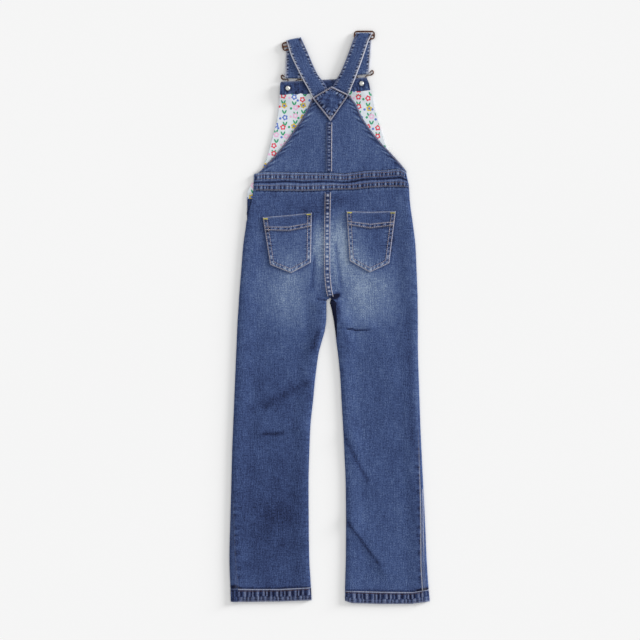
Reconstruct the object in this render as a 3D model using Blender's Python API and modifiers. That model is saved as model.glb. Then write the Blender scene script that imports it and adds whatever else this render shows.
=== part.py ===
"""Child's denim overalls, laid flat face down, so that the back shows.

The straps point to +Y, the legs to -Y and the back is up, along +Z. The floor is z = 0.
Left and right are as seen from above. Tables and sizes are in millimetres, meshes in metres.
"""

import math

import bmesh
import bpy
import numpy as np

MM = 0.001

# Cloth thicknesses and the gap kept between pieces at a seam
DENIM = 1.3
LINING = 1.0
STRAP = 1.8
FRONT_BAND = 2.0
BACK_BAND = 2.4
HEM = 2.0
SEAM_STRIP = 1.2
FACING = 1.0
GAP = 0.3

# Free space between cloth that is laid on a curved panel and that panel
LAID_CLEAR = 0.05

# How a laid panel turns up from the floor at its edges and over on to the back
EDGE_HIGH = 5.2
TOP_REACH = 9.0
FLOOR_REACH = 7.0
PUFF_REACH = 28.0

# Metal: wire buckle, slider, button and rivet cap
WIRE = 0.8
SLIDER_LONG = 38.0
SLIDER_WIDE = 16.0
SLIDER_RAIL = 2.8
SLIDER_THICK = 1.6
SLIDER_CORNER = 6.0
BUTTON_RADIUS = 8.5
BUTTON_HEAD = 1.6
BUTTON_NECK = 2.5
RIVET_RADIUS = 4.15
RIVET_HIGH = 1.4

# The front bib lies over its buckles and buttons, so it is lifted near them
BIB_LIFT = 3.8
LIFT_FLAT = 12.0
LIFT_FALL = 28.0


def table(names, rows):
    """A short table with named columns, as an array for each name."""
    return dict(zip(names.split(), np.array(rows, float).T))


LEFT_LEG = table("y outer inner", [
    (234.0, -141.5, -2.8),
    (227.0, -143.6, -2.8),
    (213.0, -147.6, -3.1),
    (193.0, -148.4, -3.5),
    (171.5, -150.0, -3.9),
    (128.0, -155.8, -4.2),
    (85.0, -159.2, -4.0),
    (49.0, -162.1, -1.4),
    (35.0, -163.2, 0.5),
    (31.0, -163.4, -4.6),
    (27.0, -163.6, -5.9),
    (-1.4, -165.5, -6.1),
    (-23.0, -166.6, -8.8),
    (-45.0, -167.5, -14.8),
    (-66.0, -168.4, -20.2),
    (-109.0, -170.2, -26.0),
    (-152.0, -172.0, -30.2),
    (-196.0, -173.8, -34.8),
    (-239.0, -175.6, -36.6),
    (-304.0, -177.2, -38.1),
    (-369.0, -179.0, -37.7),
    (-433.0, -180.5, -36.8),
    (-487.0, -178.8, -33.8),
    (-512.0, -178.1, -32.5),
])
RIGHT_LEG = table("y outer inner", [
    (234.0, 142.3, -2.8),
    (211.0, 143.6, -3.1),
    (171.5, 149.0, -3.9),
    (128.0, 154.2, -4.2),
    (85.0, 156.2, -4.0),
    (49.0, 157.6, -1.4),
    (35.0, 158.1, 0.5),
    (31.0, 158.1, -0.2),
    (15.0, 158.3, 3.2),
    (-1.4, 158.5, 6.4),
    (-23.0, 158.5, 9.6),
    (-45.0, 158.5, 12.0),
    (-66.0, 158.7, 14.8),
    (-109.0, 160.1, 19.0),
    (-152.0, 161.6, 21.3),
    (-196.0, 163.0, 23.9),
    (-239.0, 165.0, 26.0),
    (-304.0, 168.2, 28.7),
    (-369.0, 171.5, 29.2),
    (-433.0, 174.2, 28.9),
    (-487.0, 177.9, 27.4),
    (-516.0, 180.5, 27.4),
])

# How far the front cloth wraps on to the back before its seam, at each edge
LEFT_LAP = table("y outer inner", [
    (234.0, 6.2, 1.2),
    (227.0, 5.8, 1.2),
    (213.0, 8.5, 1.2),
    (204.0, 6.4, 1.2),
    (194.0, 3.9, 1.2),
    (180.0, 1.4, 1.2),
    (-109.0, 1.2, 1.2),
    (-304.0, 1.6, 1.2),
    (-487.0, 13.5, 1.2),
    (-516.0, 14.0, 1.2),
])
RIGHT_LAP = table("y outer inner", [
    (234.0, 1.2, 1.2),
    (36.0, 1.2, 2.0),
    (31.0, 1.2, 12.5),
    (15.0, 1.2, 8.3),
    (-1.4, 1.2, 5.8),
    (-23.0, 1.2, 3.0),
    (-45.0, 1.2, 1.5),
    (-150.0, 1.2, 1.2),
    (-239.0, 3.6, 1.2),
    (-330.0, 5.4, 1.2),
    (-450.0, 9.9, 1.2),
    (-516.0, 10.0, 1.2),
])

# How far an edge turns up, from 0 for a flat cut edge to 1, and the height of its fold
LEFT_TURN = table("y outer inner fold", [
    (240.0, 0.0, 0.0, 3.0),
    (184.0, 0.0, 0.0, 3.0),
    (172.0, 1.0, 0.0, 2.9),
    (140.0, 1.0, 0.0, 2.2),
    (35.0, 1.0, 0.0, 2.2),
    (27.0, 1.0, 1.0, 2.2),
    (-520.0, 1.0, 1.0, 2.2),
])
RIGHT_TURN = table("y outer inner fold", [
    (240.0, 1.0, 0.0, 2.2),
    (35.0, 1.0, 0.0, 2.2),
    (27.0, 1.0, 1.0, 2.2),
    (-520.0, 1.0, 1.0, 2.2),
])

LEG_ROWS = [
    227.5, 213, 203, 193, 182, 171.5, 150, 128, 106, 85, 67, 49, 41, 35, 31, 27, 15,
    -1.4, -23, -45, -66, -95, -123, -152, -196, -222, -260, -304, -354, -385, -420, -455, -487,
]

# Height of the back's cloth away from its edges, over the layers under it
BACK_HEIGHT = table("y high", [
    (240.0, 4.4), (200.0, 4.4), (150.0, 3.7), (100.0, 3.4), (0.0, 3.1), (-440.0, 3.1), (-487.0, 3.7),
])

# Folds of the back: a ridge from one end to the other, wide on its lit side, steep on the other
FOLDS = table("x0 y0 x1 y1 high wide steep", [
    (-36.0, -116.0, -99.0, -152.0, 2.2, 26.0, 10.0),
    (-58.0, -198.0, -120.0, -206.0, 1.8, 24.0, 8.0),
    (-31.0, -50.0, -19.0, -30.0, 1.8, 12.0, 6.0),
    (-62.0, -376.0, -145.0, -378.0, 1.0, 30.0, 18.0),
    (70.0, -18.0, 34.0, -14.0, 1.5, 16.0, 6.0),
    (36.0, -54.0, 19.0, -6.0, 1.2, 14.0, 8.0),
    (68.0, -292.0, 38.0, -214.0, 1.5, 22.0, 14.0),
    (96.0, -450.0, 36.0, -367.0, 2.1, 26.0, 8.0),
    (118.0, -140.0, 92.0, -60.0, 0.9, 26.0, 20.0),
])

BAND_TOP = table("x y", [
    (-137.0, 256.9), (-122.0, 260.9), (-89.5, 260.6), (-53.6, 259.7), (-17.6, 259.3), (9.5, 258.8),
    (27.4, 257.8), (45.5, 260.0), (63.5, 262.9), (99.5, 264.2), (126.5, 266.6), (137.5, 259.5),
])
BAND_BOTTOM = table("x y", [
    (-137.6, 228.2), (-98.5, 227.2), (-53.6, 226.7), (-17.6, 227.6), (9.5, 229.6), (32.9, 229.4),
    (47.2, 230.1), (72.5, 233.0), (99.5, 234.3), (142.3, 234.1),
])
FRONT_BAND_BOTTOM = table("x y", [(-137.6, 228.2), (-2.8, 228.7), (142.3, 234.1)])
BAND_LINES = {"front": FRONT_BAND_BOTTOM, "back": BAND_BOTTOM}
BAND_ENDS = table("y outer inner", [
    (225.0, -137.4, 142.9), (234.0, -137.2, 142.0), (246.0, -137.0, 139.6), (262.0, -136.4, 137.0),
])
BAND_TURN = table("y outer inner fold", [(220.0, 0.0, 1.0, 2.2), (270.0, 0.0, 1.0, 2.2)])
BAND_LAP = table("y outer inner", [(220.0, 0.0, 1.2), (270.0, 0.0, 1.2)])
BAND_SECTION = table("v rise", [
    (0.0, -0.7), (0.2, 0.0), (0.4, -0.1), (0.56, -0.9), (0.66, -0.1), (0.84, 0.0), (1.0, -0.7),
])
BAND_HEIGHT = 5.3
BAND_PUCKER = 11.6
BAND_PUCKER_HIGH = 0.35
BAND_START = 228.0
BAND_LONG = 30.0

LEFT_HEM = table("x top bottom", [
    (-179.6, -487.9, -511.5), (-143.6, -488.8, -511.8), (-89.5, -488.8, -511.0), (-33.8, -485.6, -508.9),
])
RIGHT_HEM = table("x top bottom", [
    (27.4, -491.9, -509.9), (40.1, -492.2, -514.0), (90.5, -493.7, -515.6), (148.1, -494.4, -515.3),
    (177.8, -489.5, -511.0),
])
HEM_HEIGHT = 4.8
HEM_SECTION = table("v rise", [(0.0, -0.5), (0.3, 0.1), (0.75, 0.1), (1.0, -0.9)])
HEM_PUCKER = 10.4
HEM_PUCKER_HIGH = 0.4
HEM_START = -488.0
HEM_LONG = 23.0

# Columns between the two edge runs of each panel; the gathered ones need more
MIDDLE_COLUMNS = {
    "front_leg": 2, "back_leg": 7, "hem_front": 3, "hem_back": 28, "front_waistband": 5, "back_waistband": 48,
}

CENTRE = table("y x", [
    (416.0, 2.6), (352.0, 0.2), (300.0, -2.4), (227.0, -2.8), (171.5, -3.9), (128.0, -4.2),
    (85.0, -4.0), (49.0, -1.4), (33.0, 0.5),
])
SEAT_SEAM_HALF = 4.6
SEAT_SEAM_ENDS = (224.5, 37.0)
BIB_SEAM_HALF = 4.4
BIB_SEAM_ENDS = (262.0, 350.0)

FRONT_BIB_LEFT = table("y x", [
    (424.0, -88.7), (399.5, -89.9), (372.0, -92.1), (350.0, -95.5), (330.6, -100.9),
    (310.1, -106.5), (289.4, -112.0), (270.1, -120.2), (257.9, -127.4),
])
FRONT_BIB_RIGHT = table("y x", [
    (432.0, 68.9), (409.1, 72.6), (391.2, 77.5), (374.9, 80.2), (355.4, 85.8), (337.6, 91.2),
    (318.3, 96.8), (301.1, 103.0), (277.7, 115.7), (257.9, 131.8),
])
FRONT_BIB_TOP = (423.2, 431.0)
FRONT_BIB_WAIST = (261.3, 265.2)
BIB_CORNER = 2.6
BIB_CORNER_START = 5.0
BIB_CORNER_LONG = 12.0
BIB_COLUMNS = 15
LINING_ROWS = [0.0, 0.2, 0.4, 0.58, 0.7, 0.8, 0.9, 1.0]
FACING_ROWS = [0.0, 0.25, 0.5, 0.75, 0.92, 1.0]
FACING_BOTTOM = (399.3, 407.2)
BACK_BIB_LEFT = table("y x", [
    (414.0, -3.0), (404.0, -18.0), (393.9, -31.4), (374.9, -40.4), (352.7, -52.8), (336.2, -65.1),
    (316.9, -77.5), (303.0, -88.5), (287.9, -100.9), (275.5, -113.3), (264.5, -123.0), (255.0, -135.5),
])
BACK_BIB_RIGHT = table("y x", [
    (414.0, 7.0), (406.0, 21.0), (399.5, 34.6), (381.7, 48.5), (359.6, 58.1), (344.4, 67.8),
    (326.4, 81.5), (310.1, 95.3), (298.9, 106.5), (283.8, 120.2), (271.4, 131.1), (261.8, 138.2),
])
BACK_BIB_UNDER = 3.3
BACK_BIB_TOP = 412.0
BACK_BIB_ROWS = 15
BACK_BIB_CLEAR = 0.2
FOOT_ROUNDS = 4

# Columns of a back bib half, from the centre seam; one stands at the waistband's peak
BACK_BIB_COLUMNS = [0.0, 0.16, 0.32, 0.48, 0.64, 0.8, 0.945, 1.0]

POCKETS = {
    "left": table("top_x top_y low_x low_y", [
        (-120.5, 179.6, -107.4, 94.2), (-74.0, 183.2, -69.4, 79.1), (-32.3, 187.8, -33.8, 98.4),
    ]),
    "right": table("top_x top_y low_x low_y", [
        (30.0, 190.5, 35.6, 101.1), (73.0, 189.1, 71.9, 80.4), (118.7, 190.5, 107.0, 96.9),
    ]),
}
POCKET_MOUTH = 0.27
MOUTH_CLOTH = 2.2
POCKET_COLUMNS = 9
POCKET_ROWS = [0.0, 0.12, POCKET_MOUTH - 0.015, POCKET_MOUTH, 0.45, 0.63, 0.81, 1.0]

# The patch over the crossing of the straps: its left, top, right and bottom corners
PATCH = [(-31.9, 393.9), (3.1, 414.4), (34.5, 399.5), (1.4, 351.8)]
PATCH_CLOTH = 1.2
PATCH_STEPS = 9

# The straps end under it on the line y = start + slope * |x|; above that it rises over them
STRAP_END = 387.5
STRAP_END_SLOPE = 0.27
RISE_BEFORE = 14.0
RISE_LONG = 12.0
STRAP_CLEAR = 0.7

# Each strap from its end under the patch up to the slider: its two edges, middle of the cloth
LEFT_STRAP = table("xl yl zl xr yr zr", [
    (-32.0, 395.9, 5.85, -1.2, 388.0, 5.85),
    (-39.2, 410.0, 6.0, -3.5, 407.0, 5.85),
    (-47.0, 425.5, 7.2, -11.3, 422.6, 5.5),
    (-54.5, 441.0, 7.1, -20.5, 434.0, 5.6),
    (-62.0, 457.0, 6.0, -29.0, 450.5, 5.3),
    (-69.0, 472.3, 5.3, -37.0, 469.5, 5.1),
    (-75.0, 485.5, 4.95, -44.5, 487.0, 4.95),
])
RIGHT_STRAP = table("xl yl zl xr yr zr", [
    (1.2, 389.0, 5.85, 35.0, 401.8, 7.05),
    (4.6, 412.0, 5.85, 38.6, 411.0, 7.15),
    (11.3, 425.6, 5.6, 44.6, 425.3, 7.95),
    (19.5, 440.0, 5.6, 50.5, 441.0, 7.6),
    (27.5, 459.0, 5.3, 57.5, 460.0, 6.1),
    (34.5, 477.0, 5.1, 63.5, 477.5, 5.3),
    (41.5, 497.0, 4.95, 70.0, 497.5, 4.95),
])

# Where each strap folds over its slider and round its buckle's bar, left end and right end
STRAP_FOLD = {"left": ((-77.9, 495.2), (-51.0, 500.6)), "right": ((47.4, 508.3), (75.6, 508.3))}
BUCKLE_BAR = {"left": ((-80.4, 432.4), (-51.4, 432.4)), "right": ((43.4, 437.4), (70.8, 440.2))}
SLIDER_AT = {"left": (-67.2, 489.4, 11.3), "right": (62.2, 507.2, 0.0)}
BUTTON_AT = {"left": (-75.2, 411.2), "right": (57.3, 419.8)}
LIFT_CENTRE = {"left": (-73.0, 413.0), "right": (57.5, 421.0)}
FOLD_Z = 2.9
FOLD_RADIUS = 2.0
BAR_Z = 2.9
BAR_RADIUS = 2.0

# The hanging part of a strap, from its buckle to its slider: height of the middle of the cloth
FRONT_RUN = table("s z", [
    (0.0, 4.9), (0.1, 4.3), (0.25, 3.1), (0.42, 3.0), (0.6, 1.9), (0.76, 0.9), (0.88, 0.9), (1.0, 0.9),
])
RETURN_END = 0.38

# The wire of a buckle, half of it: from the middle of its bar round an ear to the button's neck
EAR = table("out up z", [
    (0.0, 0.0, 2.9), (8.0, 0.0, 2.9), (15.2, 0.0, 2.9), (17.4, 1.8, 2.8), (19.6, 2.8, 2.3),
    (21.2, 1.2, 1.8), (20.4, -2.6, 1.3), (16.4, -4.7, 1.0), (9.0, -5.0, 1.2),
])
NECK_CLEAR = 4.0
WAIST = (4.3, 7.0)
WIRE_CLEAR = 0.1
WIRE_POINTS = 38
STRAP_COLUMNS = 4
BEND_ANGLES = np.radians(np.arange(0.0, 181.0, 30.0))

SIDE_FACING = [
    (-137.9, 243.0), (-143.9, 233.9), (-147.8, 225.4), (-148.4, 213.3),
    (-128.0, 213.3), (-128.0, 226.0), (-137.9, 226.4),
]
SIDE_PLACKET = [(-148.2, 213.0), (-148.6, 193.0), (-149.3, 184.5), (-128.0, 184.5), (-128.0, 213.0)]

COLOURS = {
    "denim": (0.060, 0.105, 0.240, 1.0),
    "denim_dark": (0.030, 0.050, 0.130, 1.0),
    "denim_light": (0.100, 0.155, 0.300, 1.0),
    "cotton_print": (0.780, 0.760, 0.740, 1.0),
    "antique_copper": (0.180, 0.075, 0.045, 1.0),
    "nickel": (0.700, 0.700, 0.680, 1.0),
}
ROUGHNESS = {"antique_copper": 0.35, "nickel": 0.3}


def clear_scene():
    """Remove the objects that a new file holds."""
    for thing in list(bpy.data.objects):
        bpy.data.objects.remove(thing, do_unlink=True)


def finish_of(name, colour):
    """A Principled material for one sub-part."""
    material = bpy.data.materials.new(f"{name}_{colour}")
    material.use_nodes = True
    shader = material.node_tree.nodes["Principled BSDF"]
    shader.inputs["Base Color"].default_value = COLOURS[colour]
    shader.inputs["Roughness"].default_value = ROUGHNESS.get(colour, 0.9)
    shader.inputs["Metallic"].default_value = 1.0 if colour in ROUGHNESS else 0.0
    return material


def place(name, data, colour, collection):
    """Put a mesh or curve into the part's collection as one named sub-part."""
    thing = bpy.data.objects.new(name, data)
    data.materials.append(finish_of(name, colour))
    collection.objects.link(thing)
    return thing


def ease(t):
    """Smooth step from 0 to 1."""
    t = np.clip(t, 0.0, 1.0)
    return t * t * (3.0 - 2.0 * t)


def look_up(tab, column, at, key="y"):
    """Straight lines between a table's rows."""
    order = np.argsort(tab[key])
    return np.interp(at, tab[key][order], tab[column][order])


def curve_through(tab, column, at, key="y"):
    """Smooth curve through a table's rows: a cubic between rows, its slopes from their neighbours."""
    order = np.argsort(tab[key])
    knots = tab[key][order]
    values = tab[column][order]
    slopes = np.gradient(values, knots)
    at = np.clip(at, knots[0], knots[-1])
    i = np.clip(np.searchsorted(knots, at) - 1, 0, len(knots) - 2)
    step = knots[i + 1] - knots[i]
    t = (at - knots[i]) / step
    ends = values[i] * (1 + 2 * t) * (1 - t) ** 2 + values[i + 1] * t * t * (3 - 2 * t)
    return ends + step * t * (1 - t) * (slopes[i] * (1 - t) - slopes[i + 1] * t)


def folds(x, y):
    """Height that the folds add: a bell across each ridge, dying out past its two ends."""
    total = np.zeros(np.broadcast(x, y).shape)
    for x0, y0, x1, y1, high, wide, steep in zip(*FOLDS.values()):
        length = math.hypot(x1 - x0, y1 - y0)
        along = ((x - x0) * (x1 - x0) + (y - y0) * (y1 - y0)) / length
        across = ((x - x0) * (y1 - y0) - (y - y0) * (x1 - x0)) / length
        past = np.maximum(0.0, np.maximum(-along, along - length))
        reach = np.where(across > 0.0, wide, steep)
        total = total + high * np.exp(-(across / reach) ** 2 - (past / 14.0) ** 2)
    return total


class Tube:
    """A stretch of the lower body, laid flat: a front panel on the floor, a back panel on it.

    Its outer edge is the side seam's and its inner edge the inseam's. Places across it are
    distances from one of these edges. The front cloth turns up round the edge and laps on to
    the back, up to the seam; the back cloth goes on from there.
    """

    def __init__(self, outline, lap, turn, cloth, height, lines, spread):
        self.outline = outline
        self.lap = lap
        self.turn = turn
        self.front_cloth, self.back_cloth = cloth
        self.height = height
        self.lines = lines
        self.spread = spread
        self.inward = 1.0 if outline["outer"][0] < outline["inner"][0] else -1.0

    def edge_x(self, edge, y, inside):
        """The x that lies a distance inside an edge."""
        way = self.inward if edge == "outer" else -self.inward
        return look_up(self.outline, edge, y) + way * inside

    def top(self, x, y):
        """Height of the back's outer face, away from the turn of its edges."""
        from_outer = (x - look_up(self.outline, "outer", y)) * self.inward
        from_inner = (look_up(self.outline, "inner", y) - x) * self.inward
        opened = look_up(self.turn, "inner", y)
        rim = np.maximum(
            1.0 - ease((from_outer - TOP_REACH) / PUFF_REACH),
            opened * (1.0 - ease((from_inner - TOP_REACH) / PUFF_REACH)),
        )
        high = self.height(x, y)
        return high + np.maximum(EDGE_HIGH - high, 0.0) * rim + folds(x, y)

    def over(self, edge, y, inside, cloth, turned):
        """Both faces of cloth on the back, near an edge: x and z, outer face then inner."""
        fold = look_up(self.turn, "fold", y)
        x = self.edge_x(edge, y, inside)
        share = np.minimum(inside, TOP_REACH) / TOP_REACH
        root = 1.0 + turned * (np.sqrt(1.0 - (1.0 - share) ** 2) - 1.0)
        high = self.top(x, y)
        inner_x = self.edge_x(edge, y, inside + turned * cloth * (1.0 - share))
        return x, fold + (high - fold) * root, inner_x, fold + (high - cloth - fold) * root

    def front_edge(self, edge, y):
        """The front panel's run at an edge, from its seam round the fold to the floor."""
        turned = look_up(self.turn, edge, y)
        lap = look_up(self.lap, edge, y)
        fold = look_up(self.turn, "fold", y)
        cloth = self.front_cloth
        flat_at = np.array([GAP / 2, 1.2, 2.6, 4.4, FLOOR_REACH])
        lapped = lap * np.array([1.0, 0.35])
        out_x, out_z, in_x, in_z = self.over(edge, y, lapped, cloth, 1.0)
        angle = np.radians([0.0, 42.0, 90.0])
        under = FLOOR_REACH * (1.0 - np.cos(angle))
        out_x = np.append(out_x, self.edge_x(edge, y, under))
        out_z = np.append(out_z, fold * (1.0 - np.sin(angle)))
        in_x = np.append(in_x, self.edge_x(edge, y, under + cloth * np.cos(angle)))
        in_z = np.append(in_z, fold - (fold - cloth) * np.sin(angle))
        flat_x = self.edge_x(edge, y, flat_at)
        outer = np.stack([flat_x + turned * (out_x - flat_x), turned * out_z], axis=1)
        inner = np.stack([flat_x + turned * (in_x - flat_x), cloth + turned * (in_z - cloth)], axis=1)
        return outer, inner

    def back_edge(self, edge, y):
        """The back panel's run at an edge, from its seam inwards."""
        turned = look_up(self.turn, edge, y) if edge == "inner" else 1.0
        share = 1.0 - np.cos(np.radians([0.0, 30.0, 60.0, 90.0]))
        start = look_up(self.lap, edge, y) + GAP
        end = max(TOP_REACH, start + 3.0)
        inside = start + (end - start) * share
        flat_at = GAP / 2 + (TOP_REACH - GAP / 2) * share
        inside = flat_at + turned * (inside - flat_at)
        out_x, out_z, in_x, in_z = self.over(edge, y, inside, self.back_cloth, turned)
        return np.stack([out_x, out_z], axis=1), np.stack([in_x, in_z], axis=1)

    def row(self, y, side, middle, lumps):
        """One section across the panel: its outer and inner face as x and z."""
        run = self.front_edge if side == "front" else self.back_edge
        left_out, left_in = run("outer", y)
        right_out, right_in = run("inner", y)
        share = np.arange(1, middle + 1) / (middle + 1)
        x = left_out[-1, 0] + (right_out[-1, 0] - left_out[-1, 0]) * share
        if side == "front":
            out_z = np.zeros(middle)
            in_z = np.full(middle, self.front_cloth)
        else:
            out_z = self.top(x, y)
            in_z = out_z - self.back_cloth
        outer = np.concatenate([left_out, np.stack([x, out_z], axis=1), right_out[::-1]])
        inner = np.concatenate([left_in, np.stack([x, in_z], axis=1), right_in[::-1]])
        if side == "back":
            ends = outer[[0, -1], 0]
            from_end = np.abs(outer[:, :1] - ends).min(axis=1)
            outer[:, 1] += lumps(outer[:, 0]) * np.minimum(1.0, from_end / TOP_REACH)
        return outer, inner

    def panel(self, side, middle, lumps=lambda share, x: 0.0 * x):
        """Both faces of a panel, a row for each line along it, as x, y and z."""
        faces = [], []
        for y, share in zip(self.lines, self.spread):
            rows = self.row(y, side, middle, lambda x: lumps(share, x))
            for face, points in zip(faces, rows):
                bent = self.bend(y, points[:, 0], side)
                face.append(np.column_stack([points[:, 0], bent, points[:, 1]]))
        return np.array(faces[0]), np.array(faces[1])


def hem_line(hem, column, x, side):
    """The y of a hem's upper or lower line; the front half's lines are straight."""
    if side == "front":
        hem = {name: values[[0, -1]] for name, values in hem.items()}
    return look_up(hem, column, x, "x")


class Leg(Tube):
    """A leg from the waistband down to its hem; its end rows follow both of them."""

    def __init__(self, outline, lap, turn, hem):
        super().__init__(
            outline, lap, turn, (DENIM, DENIM),
            lambda x, y: look_up(BACK_HEIGHT, "high", y) + 0.0 * x,
            LEG_ROWS, LEG_ROWS,
        )
        self.hem = hem

    def bend(self, y, x, side):
        """A row's real y at each x."""
        to_band = ease((y - LEG_ROWS[4]) / (LEG_ROWS[0] - LEG_ROWS[4]))
        to_hem = ease((LEG_ROWS[-4] - y) / (LEG_ROWS[-4] - LEG_ROWS[-1]))
        band = look_up(BAND_LINES[side], "y", x, "x") - GAP - LEG_ROWS[0]
        hem = hem_line(self.hem, "top", x, side) + GAP - LEG_ROWS[-1]
        return y + to_band * band + to_hem * hem


class HemTube(Tube):
    """The turned hem at the end of a leg."""

    def __init__(self, leg):
        lines = HEM_START - HEM_LONG * HEM_SECTION["v"]
        super().__init__(
            leg.outline, leg.lap, leg.turn, (HEM, HEM),
            lambda x, y: HEM_HEIGHT + 0.0 * x, lines, HEM_SECTION["v"],
        )
        self.hem = leg.hem

    def bend(self, y, x, side):
        """A row's real y at each x."""
        share = (HEM_START - y) / HEM_LONG
        top = hem_line(self.hem, "top", x, side)
        bottom = hem_line(self.hem, "bottom", x, side)
        return top + share * (bottom - top)


class BandTube(Tube):
    """The waistband, all the way across."""

    def __init__(self):
        lines = BAND_START + BAND_LONG * BAND_SECTION["v"]
        super().__init__(
            BAND_ENDS, BAND_LAP, BAND_TURN, (FRONT_BAND, BACK_BAND),
            lambda x, y: BAND_HEIGHT + 0.0 * x, lines, BAND_SECTION["v"],
        )

    def bend(self, y, x, side):
        """A row's real y at each x."""
        share = (y - BAND_START) / BAND_LONG
        top = look_up(BAND_TOP, "y", x, "x")
        bottom = look_up(BAND_LINES[side], "y", x, "x")
        return bottom + share * (top - bottom)


def puckers(x, spacing, high):
    """Uneven ripples across a gathered band of cloth."""
    phase = 2 * math.pi * x / spacing
    return high * np.sin(phase + 1.4 * np.sin(phase * 0.23)) * (0.75 + 0.25 * np.sin(phase * 0.31 + 1.0))


def hem_lumps(share, x):
    """The hem's rounded section and its puckers, in its outer face only."""
    flat = 4.0 * share * (1.0 - share)
    return look_up(HEM_SECTION, "rise", share, "v") + flat * puckers(x, HEM_PUCKER, HEM_PUCKER_HIGH)


def band_lumps(share, x):
    """The waistband's two padded rolls with a crease between, and its puckers."""
    flat = 4.0 * share * (1.0 - share)
    return look_up(BAND_SECTION, "rise", share, "v") + flat * puckers(x, BAND_PUCKER, BAND_PUCKER_HIGH)


def lift(x, y):
    """Height of the front bib's underside, over its buckles and buttons."""
    high = 0.0
    for cx, cy in LIFT_CENTRE.values():
        away = np.hypot(x - cx, y - cy)
        high = np.maximum(high, BIB_LIFT * (1.0 - ease((away - LIFT_FLAT) / LIFT_FALL)))
    return high


def bib_top(x, y):
    """Height of the back bib's upper face."""
    return BACK_BIB_UNDER + DENIM + lift(x, y) + folds(x, y)


def loft(name, outer, inner, colour, collection):
    """A wall of cloth between two grids of points, closed round its rim."""
    rows, columns = outer.shape[:2]
    grid = np.arange(rows * columns).reshape(rows, columns)
    points = np.concatenate([outer.reshape(-1, 3), inner.reshape(-1, 3)]) * MM
    quads = np.stack([grid[:-1, :-1], grid[:-1, 1:], grid[1:, 1:], grid[1:, :-1]], axis=2).reshape(-1, 4)
    ring = np.concatenate([grid[0], grid[1:, -1], grid[-1, -2::-1], grid[-2:0:-1, 0]])
    after = np.roll(ring, -1)
    far = rows * columns
    sides = np.stack([after, ring, ring + far, after + far], axis=1)
    faces = np.concatenate([quads, quads[:, ::-1] + far, sides])
    mesh = bpy.data.meshes.new(name)
    mesh.from_pydata(points.tolist(), [], faces.tolist())
    shape = bmesh.new()
    shape.from_mesh(mesh)
    bmesh.ops.triangulate(shape, faces=shape.faces)
    bmesh.ops.recalc_face_normals(shape, faces=shape.faces)
    shape.to_mesh(mesh)
    shape.free()
    mesh.shade_smooth()
    mesh.set_sharp_from_angle(angle=math.radians(50))
    return place(name, mesh, colour, collection)


def lay(name, x, y, under, cloth, colour, collection):
    """Cloth laid on what is under it: a grid of points at that height, and its thickness above."""
    low = np.stack([x, y, under + 0.0 * x], axis=2)
    high = low.copy()
    high[:, :, 2] += cloth
    return loft(name, high, low, colour, collection)


def shell(name, grid, cloth, colour, collection):
    """A bent ribbon: an open surface through the middle of the cloth, with Solidify."""
    rows, columns = grid.shape[:2]
    index = np.arange(rows * columns).reshape(rows, columns)
    quads = np.stack([index[:-1, :-1], index[:-1, 1:], index[1:, 1:], index[1:, :-1]], axis=2)
    mesh = bpy.data.meshes.new(name)
    mesh.from_pydata((grid.reshape(-1, 3) * MM).tolist(), [], quads.reshape(-1, 4).tolist())
    mesh.shade_smooth()
    thing = place(name, mesh, colour, collection)
    wall = thing.modifiers.new("cloth", "SOLIDIFY")
    wall.thickness = cloth * MM
    wall.offset = 0.0
    wall.use_even_offset = True
    return thing


def flat_piece(name, outlines, at, thick, colour, collection):
    """A flat piece from closed outlines, the first one its edge and the others its holes."""
    curve = bpy.data.curves.new(name, "CURVE")
    curve.dimensions = "2D"
    curve.fill_mode = "BOTH"
    curve.extrude = thick / 2 * MM
    for outline in outlines:
        spline = curve.splines.new("POLY")
        spline.points.add(len(outline) - 1)
        for point, (x, y) in zip(spline.points, outline):
            point.co = (x * MM, y * MM, 0.0, 1.0)
        spline.use_cyclic_u = True
    thing = place(name, curve, colour, collection)
    x, y, z, turn = at
    thing.location = (x * MM, y * MM, z * MM)
    thing.rotation_euler = (0.0, 0.0, math.radians(turn))
    return thing


def turned(name, profile, at, colour, collection, steps=16):
    """A turned piece: a profile down its outer side, from top to bottom, and Screw."""
    mesh = bpy.data.meshes.new(name)
    points = [(radius * MM, 0.0, height * MM) for radius, height in profile]
    mesh.from_pydata(points, [(i, i + 1) for i in range(len(points) - 1)], [])
    thing = place(name, mesh, colour, collection)
    spin = thing.modifiers.new("turn", "SCREW")
    spin.steps = steps
    spin.render_steps = steps
    spin.use_merge_vertices = True
    spin.merge_threshold = 0.00001
    thing.location = tuple(value * MM for value in at)
    return thing


def rounded_box(long, wide, corner, steps=4):
    """Outline of a rectangle with round corners, about its middle."""
    points = []
    for turn, (sx, sy) in enumerate([(1, 1), (-1, 1), (-1, -1), (1, -1)]):
        for k in range(steps + 1):
            angle = math.radians(90.0 * (turn + k / steps))
            x = sx * (long / 2 - corner) + corner * math.cos(angle)
            y = sy * (wide / 2 - corner) + corner * math.sin(angle)
            points.append((x, y))
    return points


def make_legs(collection):
    """The four leg panels, and the four halves of the hems."""
    legs = {
        "left": Leg(LEFT_LEG, LEFT_LAP, LEFT_TURN, LEFT_HEM),
        "right": Leg(RIGHT_LEG, RIGHT_LAP, RIGHT_TURN, RIGHT_HEM),
    }
    for name, leg in legs.items():
        columns = MIDDLE_COLUMNS
        loft(f"front_leg_{name}", *leg.panel("front", columns["front_leg"]), "denim", collection)
        loft(f"back_leg_{name}", *leg.panel("back", columns["back_leg"]), "denim", collection)
        hem = HemTube(leg)
        front = hem.panel("front", columns["hem_front"])
        back = hem.panel("back", columns["hem_back"], hem_lumps)
        loft(f"hem_front_{name}", *front, "denim_dark", collection)
        loft(f"hem_back_{name}", *back, "denim_dark", collection)
    return legs


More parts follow.
